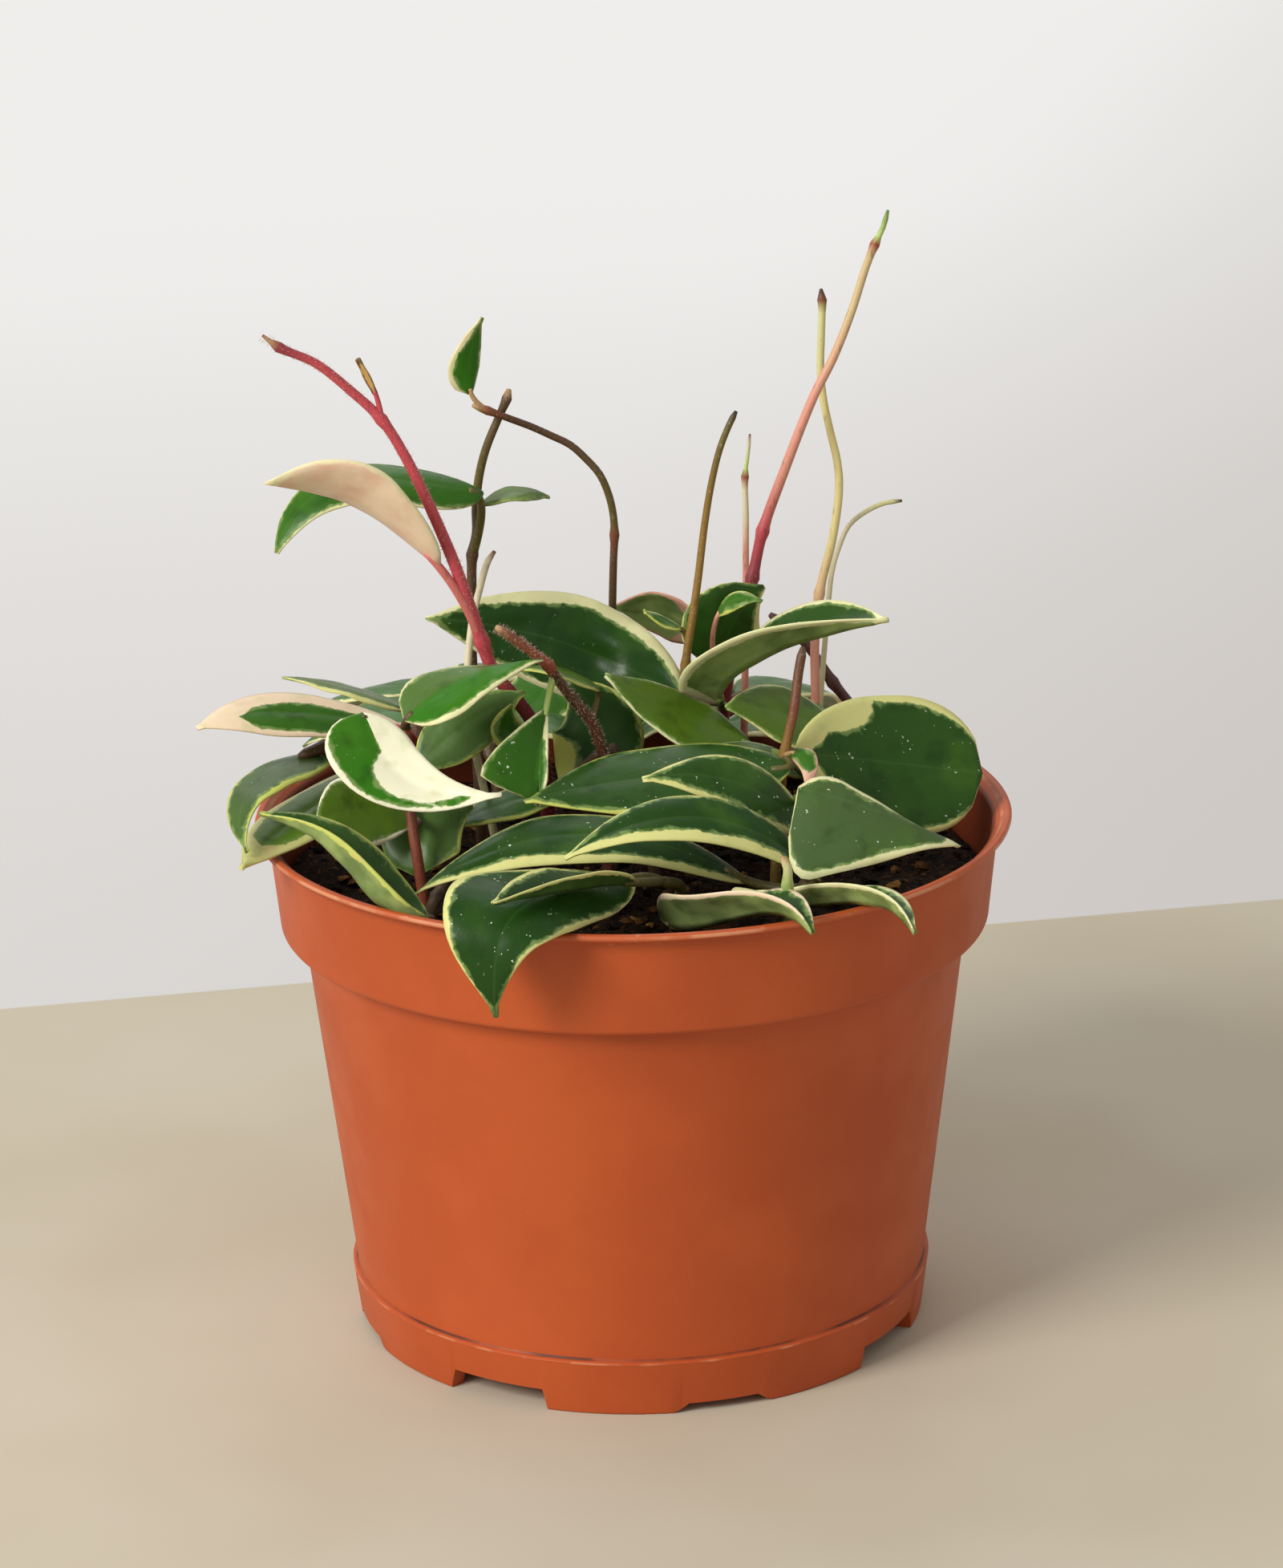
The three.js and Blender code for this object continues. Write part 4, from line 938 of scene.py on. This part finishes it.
def bark_bits(finish):
    """Chips and crumbs that lie in the top of the soil."""
    bm = bmesh.new()
    tone = bm.verts.layers.float_color.new("tone")
    draw = random.Random(SEED)
    shades = [paint(code) for code in CHIPS["shades"]]
    for _ in range(CHIPS["count"]):
        far = SOIL["edge"] * math.sqrt(draw.random()) * CHIPS["spread"]
        turn = draw.uniform(0, 2 * math.pi)
        x, y = far * math.cos(turn), far * math.sin(turn)
        size = draw.uniform(*CHIPS["size"]) * draw.uniform(*CHIPS["shrink"])
        before = len(bm.verts)
        bmesh.ops.create_icosphere(bm, subdivisions=1, radius=1)
        shade = draw.choice(shades)
        squash = size * Vector((1, draw.uniform(*CHIPS["width"]), draw.uniform(*CHIPS["height"])))
        spin = Matrix.Rotation(draw.uniform(0, 2 * math.pi), 3, "Z")
        spin = spin @ Matrix.Rotation(draw.uniform(-CHIPS["tilt"], CHIPS["tilt"]), 3, "X")
        lift = SOIL["surface"] + lumps(x, y) + CHIPS["lift"] + size * CHIPS["lift_by_size"]
        for vert in new_verts(bm, before):
            jagged = vert.co * draw.uniform(*CHIPS["jagged"])
            shaped = Vector([a * b for a, b in zip(jagged, squash)])
            vert.co = spin @ shaped + Vector((x, y, lift))
            vert[tone] = shade
    return made(bm, "bark_bits", finish, "soil", smooth=False)


# --- finishes -----------------------------------------------------------------------------------------


class Value:
    """A node's output in a sum: arithmetic on it adds Math nodes."""

    def __init__(self, finish, socket):
        self.finish, self.socket = finish, socket

    def maths(self, operation, *terms):
        return self.finish.maths(operation, *terms)

    def __add__(self, other):
        return self.maths("ADD", self, other)

    def __radd__(self, other):
        return self.maths("ADD", other, self)

    def __sub__(self, other):
        return self.maths("SUBTRACT", self, other)

    def __rsub__(self, other):
        return self.maths("SUBTRACT", other, self)

    def __mul__(self, other):
        return self.maths("MULTIPLY", self, other)

    def __rmul__(self, other):
        return self.maths("MULTIPLY", other, self)

    def __pow__(self, other):
        return self.maths("POWER", self, other)


class Finish:
    """A material being made: its nodes and its shader."""

    def __init__(self, name):
        self.material = bpy.data.materials.new(name)
        self.material.use_nodes = True
        self.tree = self.material.node_tree
        self.shader = self.tree.nodes["Principled BSDF"]

    def node(self, kind, settings=None, inputs=None, output=0):
        """Adds a node: its settings first, then the values or links of its inputs."""
        node = self.tree.nodes.new(kind)
        for name, value in (settings or {}).items():
            setattr(node, name, value)
        for key, value in (inputs or {}).items():
            self.feed(node.inputs[key], value)
        return Value(self, node.outputs[output])

    def feed(self, socket, value):
        if isinstance(value, Value):
            self.tree.links.new(value.socket, socket)
        else:
            socket.default_value = value

    def set(self, **inputs):
        """Sets or links the shader's own inputs, spaces as underscores."""
        for name, value in inputs.items():
            self.feed(self.shader.inputs[name.replace("_", " ")], value)

    def place(self):
        """Object coordinates, in millimetres."""
        coords = self.node("ShaderNodeTexCoord", output="Object")
        return self.node("ShaderNodeVectorMath", {"operation": "SCALE"}, {0: coords, "Scale": 1 / MM})

    def maths(self, operation, *terms):
        return self.node("ShaderNodeMath", {"operation": operation}, dict(enumerate(terms)))

    def attribute(self, name, output="Fac"):
        return self.node("ShaderNodeAttribute", {"attribute_name": name}, output=output)

    def noise(self, place, size, detail=2.0, rough=0.5, distortion=0.0):
        """Noise of features about size millimetres across, from 0 to 1."""
        inputs = {"Vector": place, "Scale": 1 / size, "Detail": detail}
        inputs |= {"Roughness": rough, "Distortion": distortion}
        return self.node("ShaderNodeTexNoise", {}, inputs)

    def mix(self, first, second, factor, mode="MIX"):
        settings = {"data_type": "RGBA", "blend_type": mode, "clamp_factor": True}
        return self.node("ShaderNodeMix", settings, {0: factor, 6: first, 7: second}, output=2)

    def ease(self, value, low, high, start=0.0, end=1.0):
        """Goes smoothly from start to end as the value goes from low to high."""
        settings = {"interpolation_type": "SMOOTHSTEP"}
        return self.node("ShaderNodeMapRange", settings, {0: value, 1: low, 2: high, 3: start, 4: end})

    def bump(self, height, distance, strength):
        inputs = {"Height": height, "Distance": distance * MM, "Strength": strength}
        return self.node("ShaderNodeBump", {}, inputs)

    def stretch(self, place, scale):
        return self.node("ShaderNodeMapping", {}, {"Vector": place, "Scale": scale})


def leaf_finish():
    """Waxy leaf: a marbled green middle, a paler green band and a cream margin with a ragged inner edge."""
    m = Finish("hoya_leaf")
    place = m.place()
    margin, upper = m.attribute("margin"), m.attribute("upper")
    across, flecks = m.attribute("across"), m.attribute("flecks")
    green, cream, under = (m.attribute(name, "Color") for name in ("green", "cream", "under"))
    ragged = (m.noise(place, 3.4, 2.5, 0.55, 0.6) - 0.5) * 1.6 + (m.noise(place, 0.9, 2.0) - 0.5) * 0.5
    edge = margin + ragged + (m.noise(place, 12.0, 1.0) - 0.5) * 1.6
    band = edge + (m.noise(place, 2.4) - 0.5) * 2.4
    cloudy, broad = m.noise(place, 5.0, 3.0), m.noise(place, 13.0, 2.0)
    top = m.mix(green, paint("#55801f"), m.ease(broad, 0.5, 0.8, 0.0, 0.3))
    top = m.mix(top, paint("#12300a"), m.ease(cloudy, 0.5, 0.25, 0.0, 0.45))
    top = m.mix(top, paint("#7f9857"), m.ease(band, -0.9, -0.1, 0.0, 0.75))
    rib_line = m.maths("ABSOLUTE", across)
    top = m.mix(top, paint("#7d9a55"), m.ease(rib_line, 0.4, 0.05, 0.0, 0.06))
    clusters = m.ease(m.noise(place, 6.0), 0.5, 0.62)
    speck = m.ease(m.noise(place, 0.8, 1.0), 0.7, 0.75) * flecks * clusters
    top = m.mix(top, paint("#cfdcc4"), speck)
    back = m.mix(under, green, m.ease(m.noise(place, 7.0, 3.0), 0.36, 0.68, 0.08, 0.6))
    green_part = m.mix(back, top, upper)
    streaks = m.noise(place, 3.5, 2.0)
    cream_part = m.mix(cream, paint("#a9b86a"), m.ease(streaks, 0.52, 0.75, 0.0, 0.28))
    cream_part = m.mix(cream_part, paint("#d8a58c"), m.ease(m.noise(place, 9.0, 1.0), 0.6, 0.75, 0.0, 0.25))
    colour = m.mix(green_part, cream_part, m.ease(edge, -0.2, 0.2))
    rough = m.ease(m.noise(place, 6.0, 2.0), 0.3, 0.7, 0.26, 0.4) + (1 - upper) * 0.16
    m.set(Base_Color=colour, Roughness=rough)
    m.set(Specular_IOR_Level=0.2, Subsurface_Weight=0.05, Subsurface_Scale=0.002)
    groove = m.ease(rib_line, 0.0, 0.8)
    relief = m.noise(place, 3.2, 3.0) * 0.5 + m.noise(place, 0.5, 1.0) * 0.04 + groove * 0.1
    m.set(Normal=m.bump(relief, 0.35, 0.6))
    return m.material


def bark_finish():
    """The skin of stems and stalks: its own tone with dark grain along it and pale specks."""
    m = Finish("vine_bark")
    place = m.place()
    tone = m.attribute("tone", "Color")
    grain = m.noise(m.stretch(place, (1.0, 1.0, 0.25)), 0.8, 3.0)
    colour = m.mix(tone, paint("#2a1c14"), m.ease(grain, 0.55, 0.75, 0.0, 0.35))
    colour = m.mix(colour, paint("#e0cfb0"), m.ease(m.noise(place, 0.5, 2.0), 0.62, 0.72, 0.0, 0.25))
    m.set(Base_Color=colour, Roughness=0.5, Subsurface_Weight=0.05, Subsurface_Scale=0.001)
    m.set(Normal=m.bump(grain, 0.15, 0.6))
    return m.material


def hair_finish():
    m = Finish("stem_hair")
    m.set(Base_Color=paint("#c9a794"), Roughness=0.6)
    return m.material


def pot_finish():
    """Matt terracotta-coloured plastic: a scuffed lip with a pale line that is partly wear and partly a
    painted highlight, a dark line of painted shade in the crease over the foot, and painted shade on the
    inside.
    """
    m = Finish("terracotta_plastic")
    place = m.place()
    x, y, height = (m.node("ShaderNodeSeparateXYZ", {}, {0: place}, output=i) for i in range(3))
    clouds = m.noise(place, 28.0, 3.0)
    colour = m.mix(paint("#ba5325"), paint("#b24d21"), m.ease(clouds, 0.35, 0.65))
    colour = m.mix(colour, paint("#cf8459"), m.ease(m.noise(place, 0.7, 2.0), 0.72, 0.82, 0.0, 0.3))
    # A pale line along the lip: partly real wear, partly a painted highlight where the lip's edge catches the
    # light.
    lip = POT["height"] - 0.7
    patchy = m.ease(m.noise(place, 11.0, 3.0), 0.4, 0.6, 0.1, 0.6)
    lip_wear_and_highlight = m.ease(m.maths("ABSOLUTE", height - lip - 0.1), 0.5, 0.2) * patchy
    colour = m.mix(colour, paint("#dfa27c"), lip_wear_and_highlight)
    scuffs = m.ease(m.noise(m.stretch(place, (1.0, 1.0, 3.0)), 2.2, 3.0), 0.66, 0.72)
    near_lip = m.ease(height, POT["height"] - 4.5, POT["height"] - 1.0)
    colour = m.mix(colour, paint("#cf8f68"), scuffs * near_lip * 0.5)
    burr = m.ease(m.maths("ABSOLUTE", height - POT["foot_height"] - 0.3), 0.3, 0.1)
    colour = m.mix(colour, paint("#d99870"), burr * m.ease(m.noise(place, 7.0, 3.0), 0.5, 0.62, 0.0, 0.45))
    # A dark line of painted shade in the crease where the foot's ledge meets the body.
    seam = m.ease(m.maths("ABSOLUTE", height - POT["foot_height"] - 0.95), 0.35, 0.1)
    colour = m.mix(colour, paint("#3a1a0e"), seam * m.ease(m.noise(place, 16.0, 3.0), 0.4, 0.6, 0.25, 0.85))
    # The inside wall above the band is darkened: painted shade from the leaves and wall around it.
    radius = ((x - POT_AXIS.x / MM) ** 2 + (y - POT_AXIS.y / MM) ** 2) ** 0.5
    wall_middle = (height - POT["band_bottom"]) * POT["band_slope"] + (POT["band_lower"] - POT["wall"] / 2)
    inside_shade = m.ease(wall_middle - radius, -0.2, 0.2)
    inside_shade = inside_shade * m.ease(height, POT["band_bottom"] + 1, POT["band_bottom"] + 2)
    colour = m.mix(colour, paint("#5a2410"), inside_shade * 0.75)
    rough = m.ease(m.noise(place, 14.0, 2.0), 0.3, 0.7, 0.46, 0.56)
    m.set(Base_Color=colour, Roughness=rough, Specular_IOR_Level=0.35)
    m.set(Normal=m.bump(m.noise(place, 0.35, 2.0) + m.noise(place, 40.0) * 2, 0.06, 0.5))
    return m.material


def soil_finish():
    """Damp dark potting mix with brown fibres."""
    m = Finish("potting_mix")
    place = m.place()
    colour = m.mix(paint("#120b07"), paint("#2e1d10"), m.ease(m.noise(place, 2.0, 4.0), 0.4, 0.65))
    colour = m.mix(colour, paint("#6b4520"), m.ease(m.noise(place, 0.9, 2.0), 0.6, 0.7, 0.0, 0.6))
    m.set(Base_Color=colour, Roughness=0.95, Specular_IOR_Level=0.08)
    m.set(Normal=m.bump(m.noise(place, 0.8, 4.0), 0.8, 1.0))
    return m.material


def chip_finish():
    m = Finish("bark_chips")
    place = m.place()
    tone = m.attribute("tone", "Color")
    colour = m.mix(tone, paint("#0b0705"), m.ease(m.noise(place, 0.8, 3.0), 0.45, 0.7, 0.0, 0.8))
    m.set(Base_Color=colour, Roughness=0.9, Specular_IOR_Level=0.1)
    m.set(Normal=m.bump(m.noise(place, 0.6, 3.0), 0.4, 0.8))
    return m.material


def table_finish():
    """A pale table top, and beyond its back edge a surface that glows with painted light instead of being
    lit: it brightens with distance and carries painted shade towards the right.
    """
    m = Finish("backdrop")
    place = m.place()
    x, y = (m.node("ShaderNodeSeparateXYZ", {}, {0: place}, output=i) for i in (0, 1))
    edge = TABLE_EDGE
    beyond = y - x * edge["slope"] - edge["middle"]
    far = m.ease(beyond, -0.6, 0.6)
    grain = m.noise(place, 90.0, 2.0)
    table = m.mix(paint(edge["near"]), paint(edge["near_dark"]), m.ease(grain, 0.3, 0.7))
    # Beyond the edge the surface glows instead of being lit: painted light that brightens with distance, with
    # painted shade towards the right.
    glow = m.mix(paint(edge["low"]), paint(edge["high"]), m.ease(beyond, 0, edge["depth"]))
    glow = m.mix(glow, paint(edge["shade"]), m.ease(x - beyond * 0.3, -edge["side"], edge["side"], 0.0, 0.5))
    m.set(Base_Color=m.mix(table, paint("#000000"), far), Emission_Color=m.mix(paint("#000000"), glow, far))
    m.set(Roughness=0.7, Specular_IOR_Level=0.0, Emission_Strength=1.0)
    return m.material


# --- stage --------------------------------------------------------------------------------------------

TABLE_HALF = 6
# low and high are the painted glow beyond the table's edge, near it and depth millimetres off; shade is the
# painted shade that comes in towards the right over side millimetres.
TABLE_EDGE = dict(
    middle=196, slope=0.2, near="#c9c1af", near_dark="#c3b9a5", low="#dcd8d5", high="#efeeec",
    shade="#bdb7b3", side=200, depth=1000,
)
PHOTO = dict(width=1600, height=1955, focal=6218, aim=(1.8, 0, 111.45), reach=1000, pitch=18, roll=-1)
SENSOR = 36
WARM_WHITE = (1, 0.985, 0.95)


def stage():
    bm = bmesh.new()
    bmesh.ops.create_grid(bm, x_segments=1, y_segments=1, size=TABLE_HALF)
    mesh = bpy.data.meshes.new("table_top")
    bm.to_mesh(mesh)
    bm.free()
    mesh.materials.append(table_finish())
    floor = bpy.data.objects.new("table_top", mesh)
    bpy.context.scene.collection.objects.link(floor)


def area_light(name, place, aim, size, power, colour=(1, 1, 1)):
    lamp = bpy.data.lights.new(name, "AREA")
    lamp.shape, lamp.size, lamp.energy, lamp.color = "SQUARE", size, power, colour
    light = bpy.data.objects.new(name, lamp)
    light.location = place
    light.rotation_euler = (Vector(aim) - Vector(place)).to_track_quat("-Z", "Y").to_euler()
    bpy.context.scene.collection.objects.link(light)


def studio():
    aim = POT_AXIS + Vector((0, 0, 0.1))
    area_light("key", (-1.3, -1.15, 1.2), aim, size=0.8, power=36, colour=WARM_WHITE)
    area_light("back", (-0.3, 1.6, 1.6), aim, size=1.6, power=10)
    world = bpy.data.worlds.new("studio")
    world.use_nodes = True
    background = world.node_tree.nodes["Background"]
    background.inputs["Color"].default_value = (*WARM_WHITE, 1)
    background.inputs["Strength"].default_value = 0.52
    bpy.context.scene.world = world
    bpy.context.scene.view_settings.view_transform = "Standard"


def camera():
    """The photograph's view: a long lens that looks down a little."""
    lens = bpy.data.cameras.new("photo")
    lens.sensor_width = SENSOR
    lens.lens = PHOTO["focal"] / PHOTO["height"] * SENSOR
    lens.clip_start, lens.clip_end = 0.01, 50
    pitch, roll = math.radians(PHOTO["pitch"]), math.radians(PHOTO["roll"])
    ahead = Vector((0, math.cos(pitch), -math.sin(pitch)))
    right, up = Vector((1, 0, 0)), Vector((0, math.sin(pitch), math.cos(pitch)))
    across = right * math.cos(roll) + up * math.sin(roll)
    over = up * math.cos(roll) - right * math.sin(roll)
    turn = Matrix((across, over, -ahead)).transposed().to_4x4()
    place = POT_AXIS + (Vector(PHOTO["aim"]) - ahead * PHOTO["reach"]) * MM
    seen = bpy.data.objects.new("photo", lens)
    seen.matrix_world = Matrix.Translation(place) @ turn
    bpy.context.scene.collection.objects.link(seen)
    bpy.context.scene.camera = seen


# --- the whole plant ----------------------------------------------------------------------------------

camera()
studio()
stage()
finishes = {"leaf": leaf_finish(), "bark": bark_finish(), "hair": hair_finish()}
pot(pot_finish())
dark_soil = soil_finish()
soil(dark_soil)
drain_holes(dark_soil)
bark_bits(chip_finish())
for vine in VINES:
    vine_pieces(vine, finishes)
